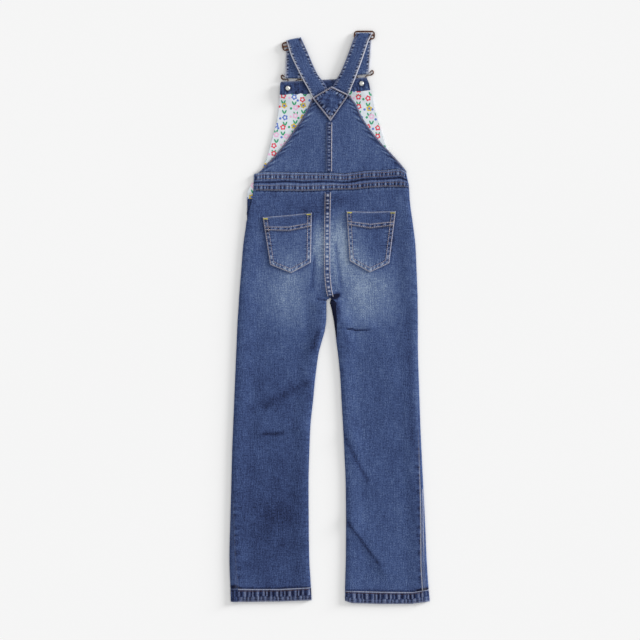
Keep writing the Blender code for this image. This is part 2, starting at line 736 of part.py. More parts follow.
def make_waistband(collection):
    """The two halves of the waistband."""
    band = BandTube()
    front = band.panel("front", MIDDLE_COLUMNS["front_waistband"])
    back = band.panel("back", MIDDLE_COLUMNS["back_waistband"], band_lumps)
    loft("front_waistband", *front, "denim", collection)
    loft("back_waistband", *back, "denim", collection)


def bib_grid(low, high, rows):
    """Points across the front bib between two slanting lines, given at its left and right edge."""
    u = np.linspace(0.0, 1.0, BIB_COLUMNS)
    v = np.array(rows)[:, None]
    y = (low[0] + (low[1] - low[0]) * u) * (1 - v) + (high[0] + (high[1] - high[0]) * u) * v
    left = curve_through(FRONT_BIB_LEFT, "x", y)
    right = curve_through(FRONT_BIB_RIGHT, "x", y)
    corner = BIB_CORNER * ease((y - FRONT_BIB_TOP[0] + BIB_CORNER_START) / BIB_CORNER_LONG)
    return np.stack([left + corner + (right - left - 2 * corner) * u, y])


def make_front_bib(collection):
    """The front bib, its facing at the top and its lining below that."""
    lined = bib_grid(FRONT_BIB_WAIST, FACING_BOTTOM, LINING_ROWS)
    faced = bib_grid([y + GAP for y in FACING_BOTTOM], FRONT_BIB_TOP, FACING_ROWS)
    x, y = np.concatenate([lined, faced], axis=1)
    lay("front_bib", x, y, lift(x, y), DENIM, "denim", collection)
    over = DENIM + GAP
    for name, (x, y), cloth, colour in (
        ("front_bib_lining", lined, LINING, "cotton_print"),
        ("front_bib_facing", faced, FACING, "denim_dark"),
    ):
        lay(name, x, y, lift(x, y) + over, cloth, colour, collection)


def make_back_bib(collection):
    """The two halves of the back bib and the felled seam between them."""
    share = np.linspace(0.0, 1.0, BACK_BIB_ROWS)[:, None]
    u = np.array(BACK_BIB_COLUMNS)
    start = look_up(CENTRE, "x", BAND_START)
    for side, edge, away in (("left", BACK_BIB_LEFT, -1.0), ("right", BACK_BIB_RIGHT, 1.0)):
        foot = BAND_START + BAND_LONG + 0.0 * u
        for _ in range(FOOT_ROUNDS):
            foot_x = start + (look_up(edge, "x", foot) - start) * u
            foot = look_up(BAND_TOP, "y", foot_x, "x") + GAP + BACK_BIB_CLEAR
        y = foot + (BACK_BIB_TOP - foot) * share
        middle = curve_through(CENTRE, "x", y) + away * GAP / 2
        x = middle + (look_up(edge, "x", y) - middle) * u
        lay(f"back_bib_{side}", x, y, bib_top(x, y) - DENIM, DENIM, "denim", collection)
    y = np.linspace(*BIB_SEAM_ENDS, 14)[:, None]
    x = curve_through(CENTRE, "x", y) + BIB_SEAM_HALF * np.linspace(-1.0, 1.0, 3)
    lay("back_bib_seam", x, y + 0.0 * x, bib_top(x, y) + GAP, SEAM_STRIP, "denim_light", collection)


def seat_top(legs, x, y):
    """Height of the seat's upper face, on both sides of its centre seam."""
    middle = curve_through(CENTRE, "x", y)
    return np.where(x < middle, legs["left"].top(x, y), legs["right"].top(x, y))


def make_seat(legs, collection):
    """The seat's centre seam and the two patch pockets."""
    y = np.linspace(*SEAT_SEAM_ENDS, 22)[:, None]
    x = curve_through(CENTRE, "x", y) + SEAT_SEAM_HALF * np.linspace(-1.0, 1.0, 3)
    under = seat_top(legs, x, y) + GAP
    lay("seat_seam", x, y + 0.0 * x, under, SEAM_STRIP, "denim_light", collection)
    for side, corners in POCKETS.items():
        u = np.linspace(0.0, 2.0, POCKET_COLUMNS)
        v = np.array(POCKET_ROWS)[:, None]
        line = {name: np.interp(u, [0.0, 1.0, 2.0], column) for name, column in corners.items()}
        x = line["top_x"] * (1 - v) + line["low_x"] * v
        y = line["top_y"] * (1 - v) + line["low_y"] * v
        under = legs[side].top(x, y) + GAP + LAID_CLEAR
        cloth = np.where(v < POCKET_MOUTH, MOUTH_CLOTH, DENIM) + 0.0 * x
        low = np.stack([x, y, under], axis=2)
        high = np.stack([x, y, under + cloth], axis=2)
        loft(f"pocket_{side}", high, low, "denim", collection)


def make_patch(collection):
    """The kite-shaped patch, over the strap ends at its top and on the bib at its bottom."""
    left, top, right, bottom = (np.array(corner) for corner in PATCH)
    u = np.linspace(0.0, 1.0, PATCH_STEPS)[:, None, None]
    v = np.linspace(0.0, 1.0, PATCH_STEPS)[None, :, None]
    grid = (1 - u) * (1 - v) * left + u * (1 - v) * top + u * v * right + (1 - u) * v * bottom
    x, y = grid[..., 0], grid[..., 1]
    strap_end = STRAP_END + STRAP_END_SLOPE * np.abs(x)
    raised = ease((y - strap_end + RISE_BEFORE) / RISE_LONG)
    under = bib_top(x, y) + GAP + raised * (STRAP + GAP + STRAP_CLEAR)
    lay("strap_patch", x, y, under, PATCH_CLOTH, "denim_light", collection)


def across(line, inset=0.0):
    """The two ends of a bar, moved sideways from it in the plane."""
    start, end = (np.array(point, float) for point in line)
    way = (end - start) / np.linalg.norm(end - start)
    up = np.array([-way[1], way[0]])
    return start + inset * up, end + inset * up


def strap_rows(side, run):
    """Rows of a strap from its buckle's return end round to its end under the patch."""
    bar = BUCKLE_BAR[side]
    fold = STRAP_FOLD[side]
    rows = []

    def between(share, z):
        ends = [np.array(low) + share * (np.array(high) - np.array(low)) for low, high in zip(bar, fold)]
        rows.append([(*ends[0], z), (*ends[1], z)])

    for share in (RETURN_END, 0.25, 0.12, 0.04):
        between(share, BAR_Z - BAR_RADIUS)
    for angle in BEND_ANGLES:
        ends = across(bar, -BAR_RADIUS * math.sin(angle))
        z = BAR_Z - BAR_RADIUS * math.cos(angle)
        rows.append([(*ends[0], z), (*ends[1], z)])
    for share, z in zip(FRONT_RUN["s"][1:-1], FRONT_RUN["z"][1:-1]):
        between(share, z)
    for angle in BEND_ANGLES:
        ends = across(fold, FOLD_RADIUS * math.sin(angle))
        z = FOLD_Z - FOLD_RADIUS * math.cos(angle)
        rows.append([(*ends[0], z), (*ends[1], z)])
    for xl, yl, zl, xr, yr, zr in reversed(list(zip(*run.values()))):
        rows.append([(xl, yl, zl), (xr, yr, zr)])
    return np.array(rows)


def make_straps(collection):
    """The two straps, their sliders and their wire buckles."""
    for side, run in (("left", LEFT_STRAP), ("right", RIGHT_STRAP)):
        ends = strap_rows(side, run)
        share = np.linspace(0.0, 1.0, STRAP_COLUMNS)[None, :, None]
        grid = ends[:, :1] * (1 - share) + ends[:, 1:] * share
        shell(f"strap_{side}", grid, STRAP, "denim", collection)
        make_slider(side, collection)
        make_buckle(side, collection)


def make_slider(side, collection):
    """A three-bar slider: a rounded frame with two slots."""
    x, y, turn = SLIDER_AT[side]
    slot = (SLIDER_WIDE - 3 * SLIDER_RAIL) / 2
    shift = (slot + SLIDER_RAIL) / 2
    hole = rounded_box(SLIDER_LONG - 2 * SLIDER_RAIL, slot, slot / 3, 3)
    outlines = [rounded_box(SLIDER_LONG, SLIDER_WIDE, SLIDER_CORNER)]
    outlines.append([(px, py + shift) for px, py in hole])
    outlines.append([(px, py - shift) for px, py in hole])
    at = (x, y, FOLD_Z, turn)
    flat_piece(f"slider_{side}", outlines, at, SLIDER_THICK, "antique_copper", collection)


def wire_through(route, points):
    """Evenly spaced points on a smooth closed curve through a route."""
    route = np.array(route)
    before, after = np.roll(route, 1, axis=0), np.roll(route, -1, axis=0)
    last = np.roll(route, -2, axis=0)
    t = np.linspace(0.0, 1.0, 12, endpoint=False)[:, None]
    spans = []
    for p0, p1, p2, p3 in zip(before, route, after, last):
        cubic = 2 * p1 + (p2 - p0) * t + (2 * p0 - 5 * p1 + 4 * p2 - p3) * t ** 2
        spans.append((cubic + (3 * p1 - 3 * p2 + p3 - p0) * t ** 3) / 2)
    fine = np.concatenate(spans + [route[:1]])
    run = np.concatenate([[0.0], np.cumsum(np.linalg.norm(np.diff(fine, axis=0), axis=1))])
    at = np.linspace(0.0, run[-1], points, endpoint=False)
    return np.stack([np.interp(at, run, fine[:, axis]) for axis in range(3)], axis=1)


def make_buckle(side, collection):
    """A wire buckle: its bar inside the strap, an ear at each end and a loop round the button."""
    start, end = (np.array(point) for point in BUCKLE_BAR[side])
    middle = (start + end) / 2
    way = (end - start) / np.linalg.norm(end - start)
    up = np.array([-way[1], way[0]])
    neck = np.array(BUTTON_AT[side])
    halves = []
    for sign in (-1.0, 1.0):
        half = [(*(middle + sign * out * way + rise * up), z) for out, rise, z in zip(*EAR.values())]
        waist = neck + (sign * WAIST[0], WAIST[1])
        half.append((*waist, BUTTON_HEAD + GAP + WIRE + WIRE_CLEAR))
        half.append((*(neck + (sign * NECK_CLEAR, 0.0)), BUTTON_HEAD + GAP + WIRE))
        halves.append(half)
    foot = (*(neck + (0.0, -NECK_CLEAR)), BUTTON_HEAD + GAP + WIRE)
    route = halves[1] + [foot] + halves[0][:0:-1]
    points = wire_through(route, WIRE_POINTS)
    curve = bpy.data.curves.new(f"buckle_{side}", "CURVE")
    curve.dimensions = "3D"
    curve.bevel_depth = WIRE * MM
    curve.bevel_resolution = 2
    curve.use_fill_caps = True
    spline = curve.splines.new("POLY")
    spline.points.add(len(points) - 1)
    for point, place_at in zip(spline.points, points):
        point.co = (*(place_at * MM), 1.0)
    spline.use_cyclic_u = True
    place(f"buckle_{side}", curve, "antique_copper", collection)


def make_buttons(collection):
    """The bib buttons under the bib, and their rivets' caps on its facing."""
    neck_top = BIB_LIFT - GAP
    button = [
        (0.0, neck_top), (BUTTON_NECK, neck_top), (BUTTON_NECK, BUTTON_HEAD),
        (BUTTON_RADIUS - 0.6, BUTTON_HEAD), (BUTTON_RADIUS, BUTTON_HEAD - 0.4),
        (BUTTON_RADIUS, 0.4), (BUTTON_RADIUS - 0.5, 0.0), (0.0, 0.0),
    ]
    cap = [
        (0.0, RIVET_HIGH), (1.8, 0.93 * RIVET_HIGH), (3.2, 0.66 * RIVET_HIGH),
        (RIVET_RADIUS, 0.25 * RIVET_HIGH), (RIVET_RADIUS, 0.0), (0.0, 0.0),
    ]
    facing_top = BIB_LIFT + DENIM + GAP + FACING
    for side, (x, y) in BUTTON_AT.items():
        turned(f"button_{side}", button, (x, y, 0.0), "antique_copper", collection)
        turned(f"rivet_{side}", cap, (x, y, facing_top + GAP), "nickel", collection)


def make_side_opening(collection):
    """The floral facing and the denim placket that show at the open side."""
    over = DENIM + GAP + LINING / 2
    at = (0.0, 0.0, over, 0.0)
    flat_piece("side_facing", [SIDE_FACING], at, LINING, "cotton_print", collection)
    flat_piece("side_placket", [SIDE_PLACKET], at, LINING, "denim_dark", collection)


def main():
    """Build every sub-part into one collection."""
    clear_scene()
    collection = bpy.data.collections.new("denim_overalls")
    bpy.context.scene.collection.children.link(collection)
    legs = make_legs(collection)
    make_waistband(collection)
    make_front_bib(collection)
    make_back_bib(collection)
    make_seat(legs, collection)
    make_patch(collection)
    make_straps(collection)
    make_buttons(collection)
    make_side_opening(collection)


main()
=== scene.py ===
"""The looks of a child's denim overalls, laid flat face down, so that the back shows.

The straps point to +Y, the back is up, along +Z, and the floor is z = 0. Left and right are as
seen from above. Tables and sizes are in millimetres, meshes in metres.
"""

import math

import bpy
import numpy as np
from mathutils.bvhtree import BVHTree
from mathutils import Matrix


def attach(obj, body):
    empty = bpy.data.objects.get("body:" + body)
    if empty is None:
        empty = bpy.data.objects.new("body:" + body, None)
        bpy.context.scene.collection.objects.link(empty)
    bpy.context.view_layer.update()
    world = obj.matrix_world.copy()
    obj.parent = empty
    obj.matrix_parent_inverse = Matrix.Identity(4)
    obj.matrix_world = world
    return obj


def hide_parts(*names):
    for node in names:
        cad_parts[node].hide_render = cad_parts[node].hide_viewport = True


bl_info = {
    "name": "Denim overalls",
    "version": (1, 0, 0),
    "blender": (4, 5, 0),
    "location": "3D View > Sidebar > Overalls",
    "description": "Cloth, sewing and finishes of a child's denim overalls, laid flat",
    "category": "Object",
}

MM = 0.001
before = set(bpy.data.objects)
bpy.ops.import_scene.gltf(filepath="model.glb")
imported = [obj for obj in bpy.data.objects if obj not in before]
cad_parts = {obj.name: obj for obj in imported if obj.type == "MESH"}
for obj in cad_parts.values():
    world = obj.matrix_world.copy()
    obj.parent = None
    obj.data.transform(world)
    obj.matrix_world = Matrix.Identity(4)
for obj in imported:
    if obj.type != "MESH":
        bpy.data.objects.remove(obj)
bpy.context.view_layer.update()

# Cloth thicknesses and the gap between pieces at a seam
DENIM = 1.3
LINING = 1.0
FACING = 1.0
STRAP = 1.8
FRONT_BAND = 2.0
BACK_BAND = 2.4
HEM = 2.0
PATCH_CLOTH = 1.2
SEAM_STRIP = 1.2
GAP = 0.3

# How a laid panel turns up from the floor at its edges and over on to the back
EDGE_HIGH = 5.2
TOP_REACH = 9.0
FLOOR_REACH = 7.0
PUFF_REACH = 28.0

# The front bib lies over its buckles and buttons, so it is lifted near them
BIB_LIFT = 3.8
LIFT_FLAT = 12.0
LIFT_FALL = 28.0
LIFT_CENTRES = [(-73.0, 413.0), (57.5, 421.0)]


def table(names, rows):
    """A short table with named columns, as an array for each name."""
    return dict(zip(names.split(), np.array(rows, float).T))


# Each leg's outline from the waist to the hem: x of its outer edge and of its inner one
LEFT_LEG = table("y outer inner", [
    (234.0, -141.5, -2.8), (227.0, -143.6, -2.8), (213.0, -147.6, -3.1), (193.0, -148.4, -3.5),
    (171.5, -150.0, -3.9), (128.0, -155.8, -4.2), (85.0, -159.2, -4.0), (49.0, -162.1, -1.4),
    (35.0, -163.2, 0.5), (31.0, -163.4, -4.6), (27.0, -163.6, -5.9), (-1.4, -165.5, -6.1),
    (-23.0, -166.6, -8.8), (-45.0, -167.5, -14.8), (-66.0, -168.4, -20.2), (-109.0, -170.2, -26.0),
    (-152.0, -172.0, -30.2), (-196.0, -173.8, -34.8), (-239.0, -175.6, -36.6),
    (-304.0, -177.2, -38.1), (-369.0, -179.0, -37.7), (-433.0, -180.5, -36.8),
    (-487.0, -178.8, -33.8), (-512.0, -178.1, -32.5),
])
RIGHT_LEG = table("y outer inner", [
    (234.0, 142.3, -2.8), (211.0, 143.6, -3.1), (171.5, 149.0, -3.9), (128.0, 154.2, -4.2),
    (85.0, 156.2, -4.0), (49.0, 157.6, -1.4), (35.0, 158.1, 0.5), (31.0, 158.1, -0.2),
    (15.0, 158.3, 3.2), (-1.4, 158.5, 6.4), (-23.0, 158.5, 9.6), (-45.0, 158.5, 12.0),
    (-66.0, 158.7, 14.8), (-109.0, 160.1, 19.0), (-152.0, 161.6, 21.3), (-196.0, 163.0, 23.9),
    (-239.0, 165.0, 26.0), (-304.0, 168.2, 28.7), (-369.0, 171.5, 29.2), (-433.0, 174.2, 28.9),
    (-487.0, 177.9, 27.4), (-516.0, 180.5, 27.4),
])

# How far the front cloth wraps on to the back before its seam, at each edge
LEFT_LAP = table("y outer inner", [
    (234.0, 6.2, 1.2), (227.0, 5.8, 1.2), (213.0, 8.5, 1.2), (204.0, 6.4, 1.2), (194.0, 3.9, 1.2),
    (180.0, 1.4, 1.2), (-109.0, 1.2, 1.2), (-304.0, 1.6, 1.2), (-487.0, 13.5, 1.2), (-516.0, 14.0, 1.2),
])
RIGHT_LAP = table("y outer inner", [
    (234.0, 1.2, 1.2), (36.0, 1.2, 2.0), (31.0, 1.2, 12.5), (15.0, 1.2, 8.3), (-1.4, 1.2, 5.8),
    (-23.0, 1.2, 3.0), (-45.0, 1.2, 1.5), (-150.0, 1.2, 1.2), (-239.0, 3.6, 1.2), (-330.0, 5.4, 1.2),
    (-450.0, 9.9, 1.2), (-516.0, 10.0, 1.2),
])

# How far an edge turns up, from 0 for a flat cut edge to 1, and the height of its fold
LEFT_TURN = table("y outer inner fold", [
    (240.0, 0.0, 0.0, 3.0), (184.0, 0.0, 0.0, 3.0), (172.0, 1.0, 0.0, 2.9), (140.0, 1.0, 0.0, 2.2),
    (35.0, 1.0, 0.0, 2.2), (27.0, 1.0, 1.0, 2.2), (-520.0, 1.0, 1.0, 2.2),
])
RIGHT_TURN = table("y outer inner fold", [
    (240.0, 1.0, 0.0, 2.2), (35.0, 1.0, 0.0, 2.2), (27.0, 1.0, 1.0, 2.2), (-520.0, 1.0, 1.0, 2.2),
])

# A leg's mean top and end, and how far from them its cloth starts to follow the seam there
LEG_TOP = 227.5
LEG_END = -487.0
BEND_BAND = 45.0
BEND_HEM = 70.0

# Height of the back's cloth away from its edges, over the layers under it
BACK_HEIGHT = table("y high", [
    (240.0, 4.4), (200.0, 4.4), (150.0, 3.7), (100.0, 3.4), (0.0, 3.1), (-440.0, 3.1), (-487.0, 3.7),
])

# Folds of the back: a ridge from one end to the other, wide on its lit side, steep on the other
FOLDS = table("x0 y0 x1 y1 high wide steep", [
    (-36.0, -116.0, -99.0, -152.0, 2.2, 26.0, 10.0),
    (-58.0, -198.0, -120.0, -206.0, 1.8, 24.0, 8.0),
    (-31.0, -50.0, -19.0, -30.0, 1.8, 12.0, 6.0),
    (-62.0, -376.0, -145.0, -378.0, 1.0, 30.0, 18.0),
    (70.0, -18.0, 34.0, -14.0, 1.5, 16.0, 6.0),
    (36.0, -54.0, 19.0, -6.0, 1.2, 14.0, 8.0),
    (68.0, -292.0, 38.0, -214.0, 1.5, 22.0, 14.0),
    (96.0, -450.0, 36.0, -367.0, 2.1, 26.0, 8.0),
    (118.0, -140.0, 92.0, -60.0, 0.9, 26.0, 20.0),
])

# Sharp creases: a groove from one end to the other, its half width, depth and darkening. The
# darkening is painted shade in the groove
CREASES = table("x0 y0 x1 y1 wide deep dark", [
    (32.0, -20.4, 48.0, -23.2, 1.2, 0.6, 0.7),
    (52.5, -23.4, 69.6, -22.4, 1.2, 0.5, 0.55),
    (-30.1, -54.5, -21.1, -26.6, 4.5, 0.3, 0.20),
    (-41.6, -118.7, -118.0, -158.0, 8.0, 0.2, 0.16),
    (-118.0, -210.0, -88.0, -209.0, 2.8, 0.4, 0.26),
    (26.0, -214.0, 66.0, -292.0, 4.0, 0.4, 0.20),
    (33.4, -369.8, 88.0, -444.0, 2.6, 0.4, 0.26),
    (-21.0, 32.4, -6.0, 31.0, 1.8, 0.4, 0.35),
    (18.0, 0.5, 31.8, -42.8, 4.5, 0.2, 0.12),
    (-27.0, 106.0, -32.0, 56.0, 3.4, 0.4, 0.24),
    (11.0, 128.0, 20.0, 60.0, 3.2, 0.4, 0.24),
    (-41.0, 40.0, -37.0, -28.0, 7.0, 0.2, 0.10),
    (140.0, 10.0, 146.5, -215.0, 5.0, 0.3, 0.09),
])

# Washed and worn areas, and painted shade in a few hollows: soft ovals, lighter above zero and
# darker below it
WASH_AND_SHADE = table("x y rx ry turn tone", [
    # The seat beside its seam, and the darker cloth above it
    (-17.0, 128.0, 20.0, 50.0, 0.0, 0.43),
    (19.0, 132.0, 21.0, 54.0, 0.0, 0.46),
    (8.0, 215.0, 20.0, 12.0, 0.0, -0.10),
    (-32.0, 190.0, 26.0, 18.0, 0.0, -0.13),
    (24.0, 205.0, 28.0, 14.0, 0.0, -0.13),
    # The pockets, washed towards their feet, and the cloth below them
    (-75.0, 107.0, 30.0, 26.0, 0.0, 0.12),
    (46.0, 107.0, 26.0, 28.0, 0.0, 0.15),
    (92.0, 150.0, 22.0, 44.0, 0.0, -0.07),
    (-50.0, 70.0, 46.0, 20.0, 0.0, 0.10),
    (51.0, 67.0, 46.0, 22.0, 0.0, 0.12),
    # The backs of the thighs
    (-72.0, 32.0, 48.0, 58.0, 0.0, 0.27),
    (69.0, 37.0, 52.0, 58.0, 0.0, 0.34),
    (-92.0, 0.0, 60.0, 90.0, 0.0, 0.04),
    (-105.0, -20.0, 40.0, 44.0, 0.0, -0.06),
    (-130.0, 90.0, 34.0, 90.0, 0.0, 0.05),
    (-155.0, 60.0, 12.0, 120.0, 0.0, 0.03),
    # Painted shade in the hollow of the crotch and in the fold below it
    (9.5, 37.0, 9.5, 4.4, 28.0, -1.2),
    (14.0, 16.0, 5.0, 22.0, 0.0, -0.28),
    # The left leg from the knee down: dark, with a line of wear along its side seam
    (-118.0, -150.0, 70.0, 90.0, 0.0, -0.05),
    (-105.0, -370.0, 95.0, 130.0, 0.0, -0.15),
    (-95.0, -356.0, 36.0, 22.0, 0.0, -0.08),
    (-174.0, -400.0, 9.0, 110.0, 0.0, 0.02),
    # The right leg from the knee down, and the wear along its two seams
    (100.0, -250.0, 90.0, 200.0, 0.0, -0.03),
    (157.0, -150.0, 4.5, 130.0, 0.0, 0.07),
    (32.0, -190.0, 9.0, 70.0, 0.0, 0.05),
    (46.0, -300.0, 14.0, 44.0, 20.0, 0.06),
    # Painted shadow in the corners where the side seams run into the hems
    (-172.0, -484.5, 7.0, 3.4, 0.0, -0.6),
    (168.0, -489.5, 12.0, 3.2, 10.0, -0.6),
])

# Where the legs differ: their tone, the wear and darkening of their side seam, their front hem
LEG_TONE = {"left": -0.07, "right": -0.04}
SEAM_WORN = {"left": 0.05, "right": 0.55}
SEAM_DARK = {"left": 0.05, "right": 0.14}
FRONT_HEM_TONE = {"left": -0.14, "right": 0.06}
FRONT_HEM_WORN = {"left": 0.2, "right": 1.0}

# The side seam shows as felled below this height, and the seat seam ends at the crotch
FELLED_BELOW = 150.0
CROTCH = 32.0

# The waistband: its long edges, its ends, how they turn up and lap, and its height
BAND_TOP = table("x y", [
    (-137.0, 256.9), (-122.0, 260.9), (-89.5, 260.6), (-53.6, 259.7), (-17.6, 259.3), (9.5, 258.8),
    (27.4, 257.8), (45.5, 260.0), (63.5, 262.9), (99.5, 264.2), (126.5, 266.6), (137.5, 259.5),
])
BAND_BOTTOM = table("x y", [
    (-137.6, 228.2), (-98.5, 227.2), (-53.6, 226.7), (-17.6, 227.6), (9.5, 229.6), (32.9, 229.4),
    (47.2, 230.1), (72.5, 233.0), (99.5, 234.3), (142.3, 234.1),
])
BAND_ENDS = table("y outer inner", [
    (225.0, -137.4, 142.9), (234.0, -137.2, 142.0), (246.0, -137.0, 139.6), (262.0, -136.4, 137.0),
])
BAND_TURN = table("y outer inner fold", [(220.0, 0.0, 1.0, 2.2), (270.0, 0.0, 1.0, 2.2)])
BAND_LAP = table("y outer inner", [(220.0, 0.0, 1.2), (270.0, 0.0, 1.2)])
BAND_HEIGHT = 5.3

# The waistband from its lower edge up, at shares of its width: the height of its outer face, its
# tone, how gathered it is and how worn. Its darkest tone, in the crease along its middle, is
# painted shade
BAND_LOOK = table("v rise tone gather worn", [
    (0.00, -1.6, 0.06, 0.1, 0.40),
    (0.035, -0.4, -0.04, 0.3, 0.10),
    (0.07, -0.35, -0.20, 0.4, 0.0),
    (0.11, 0.0, -0.08, 0.9, 0.0),
    (0.21, 0.0, -0.08, 0.9, 0.0),
    (0.265, -0.35, -0.20, 0.4, 0.0),
    (0.30, -0.05, 0.06, 0.2, 0.04),
    (0.36, 0.05, 0.10, 0.15, 0.04),
    (0.41, -0.3, -0.06, 0.1, 0.0),
    # Painted shade in the crease along the middle
    (0.46, -0.9, -0.50, 0.1, 0.0),
    (0.50, -0.9, -0.46, 0.1, 0.0),
    (0.55, -0.5, -0.10, 0.1, 0.0),
    (0.60, 0.0, 0.09, 0.3, 0.03),
    (0.655, -0.35, -0.20, 0.4, 0.0),
    (0.69, 0.0, -0.07, 0.9, 0.0),
    (0.80, 0.0, -0.07, 0.9, 0.0),
    (0.85, -0.35, -0.20, 0.4, 0.0),
    (0.89, -0.05, 0.03, 0.3, 0.03),
    (0.95, 0.0, 0.08, 0.15, 0.05),
    (1.00, -1.6, 0.04, 0.1, 0.15),
])

# Spacing of its puckers, and how far its rows wander, as a share of its width
BAND_PUCKER = 6.6
BAND_WANDER = 0.04

# The hems: their long edges and their height
LEFT_HEM = table("x top bottom", [
    (-179.6, -487.9, -511.5), (-143.6, -488.8, -511.8), (-89.5, -488.8, -511.0), (-33.8, -485.6, -508.9),
])
RIGHT_HEM = table("x top bottom", [
    (27.4, -491.9, -509.9), (40.1, -492.2, -514.0), (90.5, -493.7, -515.6), (148.1, -494.4, -515.3),
    (177.8, -489.5, -511.0),
])
HEM_HEIGHT = 4.8

# The hem from its upper edge down, in the same way
HEM_LOOK = table("v rise tone gather worn", [
    (0.00, -0.6, 0.0, 0.1, 0.45),
    (0.04, -0.1, 0.0, 0.1, 0.35),
    (0.08, -0.1, -0.22, 0.2, 0.0),
    (0.15, -0.1, -0.30, 0.4, 0.0),
    (0.24, 0.1, -0.20, 1.0, 0.0),
    (0.60, 0.1, -0.20, 1.0, 0.0),
    (0.72, 0.1, -0.12, 0.7, 0.05),
    (0.84, 0.0, -0.22, 0.8, 0.0),
    (0.93, -0.4, -0.08, 0.4, 0.15),
    (1.00, -1.3, 0.0, 0.3, 0.35),
])
HEM_PUCKER = 8.2

# The middle of the back, where the two halves meet under their seam
CENTRE = table("y x", [
    (416.0, 2.6), (352.0, 0.2), (300.0, -2.4), (227.0, -2.8), (171.5, -3.9), (128.0, -4.2),
    (85.0, -4.0), (49.0, -1.4), (33.0, 0.5),
])

# The felled seam down the back, as it shows: its middle, and half its width
SEAM_MIDDLE = table("y x", [
    (416.0, -1.0), (352.0, -1.0), (300.0, -1.4), (262.0, -1.6), (227.0, -3.4), (171.5, -4.5),
    (128.0, -4.8), (85.0, -4.6), (60.0, -2.9), (49.0, -1.4), (33.0, 2.2),
])
SEAM_HALF = 5.6

# The front bib: its side edges, then its top, waist and facing's lower edge at the left and right
FRONT_BIB_LEFT = table("y x", [
    (424.0, -88.7), (399.5, -89.9), (372.0, -92.1), (350.0, -95.5), (330.6, -100.9),
    (310.1, -106.5), (289.4, -112.0), (270.1, -120.2), (257.9, -127.4),
])
FRONT_BIB_RIGHT = table("y x", [
    (432.0, 68.9), (409.1, 72.6), (391.2, 77.5), (374.9, 80.2), (355.4, 85.8), (337.6, 91.2),
    (318.3, 96.8), (301.1, 103.0), (277.7, 115.7), (257.9, 131.8),
])
FRONT_BIB_TOP = (423.2, 431.0)
FRONT_BIB_WAIST = (261.3, 265.2)
BIB_CORNER = 2.6
FACING_BOTTOM = (399.3, 407.2)

# The back bib: its diagonal edges, and the heights of its underside and of its hidden top
BACK_BIB_LEFT = table("y x", [
    (414.0, -3.0), (404.0, -18.0), (393.9, -31.4), (374.9, -40.4), (352.7, -52.8), (336.2, -65.1),
    (316.9, -77.5), (303.0, -88.5), (287.9, -100.9), (275.5, -113.3), (264.5, -123.0), (255.0, -135.5),
])
BACK_BIB_RIGHT = table("y x", [
    (414.0, 7.0), (406.0, 21.0), (399.5, 34.6), (381.7, 48.5), (359.6, 58.1), (344.4, 67.8),
    (326.4, 81.5), (310.1, 95.3), (298.9, 106.5), (283.8, 120.2), (271.4, 131.1), (261.8, 138.2),
])
BACK_BIB_UNDER = 3.3
BACK_BIB_TOP = 412.0

# The diagonal edges slant, so the distance to one is this share of the distance in x
EDGE_SLANT = 0.72

# The pockets' corners from left to right, on their mouth and on the V of their foot, with the
# mouth's turned cloth, as a share of their height and as thick as it is
POCKETS = {
    "left": table("top_x top_y low_x low_y", [
        (-120.5, 179.6, -107.4, 94.2), (-74.0, 183.2, -69.4, 79.1), (-32.3, 187.8, -33.8, 98.4),
    ]),
    "right": table("top_x top_y low_x low_y", [
        (30.0, 190.5, 35.6, 101.1), (73.0, 189.1, 71.9, 80.4), (118.7, 190.5, 107.0, 96.9),
    ]),
}
POCKET_MOUTH = 0.27
MOUTH_CLOTH = 2.2

# Bar tacks at the pockets' corners: left end, right end and height
TACKS = [
    ("pocket_left_cloth", -119.5, -111.5, 176.6), ("pocket_left_cloth", -41.5, -34.0, 184.4),
    ("pocket_right_cloth", 31.5, 39.5, 187.6), ("pocket_right_cloth", 109.0, 117.0, 187.2),
]

# The patch over the crossing of the straps: its left, top, right and bottom corners
PATCH = [(-31.9, 393.9), (3.1, 414.4), (34.5, 399.5), (1.4, 351.8)]
PATCH_EDGES = [*PATCH, PATCH[0]]

# The mean lengths of its two short and its two long edges
PATCH_SHORT = 40.0
PATCH_LONG = 54.0

# Each strap from its end under the patch up to the slider: its two edges, middle of the cloth
LEFT_STRAP = table("xl yl zl xr yr zr", [
    (-32.0, 395.9, 5.85, -1.2, 388.0, 5.85),
    (-39.2, 410.0, 6.0, -3.5, 407.0, 5.85),
    (-48.0, 425.5, 7.2, -11.3, 422.6, 5.5),
    (-56.0, 441.0, 7.1, -20.5, 434.0, 5.6),
    (-63.8, 457.0, 6.0, -29.0, 450.5, 5.3),
    (-70.6, 472.3, 5.3, -37.0, 469.5, 5.1),
    (-75.0, 485.5, 4.95, -44.5, 487.0, 4.95),
])
RIGHT_STRAP = table("xl yl zl xr yr zr", [
    (1.2, 389.0, 5.85, 35.0, 401.8, 7.05),
    (4.6, 412.0, 5.85, 38.6, 411.0, 7.15),
    (11.3, 425.6, 5.6, 44.6, 425.3, 7.95),
    (19.5, 440.0, 5.6, 50.5, 441.0, 7.6),
    (27.5, 459.0, 5.3, 57.5, 460.0, 6.1),
    (34.5, 477.0, 5.1, 63.5, 477.5, 5.3),
    (41.5, 497.0, 4.95, 70.0, 497.5, 4.95),
])

# The ends of each strap's fold at its slider and of its buckle's bar, and each button's place
STRAP_FOLD = {"left": ((-77.9, 495.2), (-51.0, 500.6)), "right": ((47.4, 508.3), (75.6, 508.3))}
BUCKLE_BAR = {"left": ((-80.4, 432.4), (-51.4, 432.4)), "right": ((43.4, 437.4), (70.8, 440.2))}
BUTTON_AT = {"left": (-75.2, 411.2), "right": (57.3, 419.8)}

# Height and radius, to the middle of the cloth, of the fold at the slider and at the buckle's bar
FOLD_Z = 2.9
FOLD_RADIUS = 2.0
BAR_Z = 2.9
BAR_RADIUS = 2.0

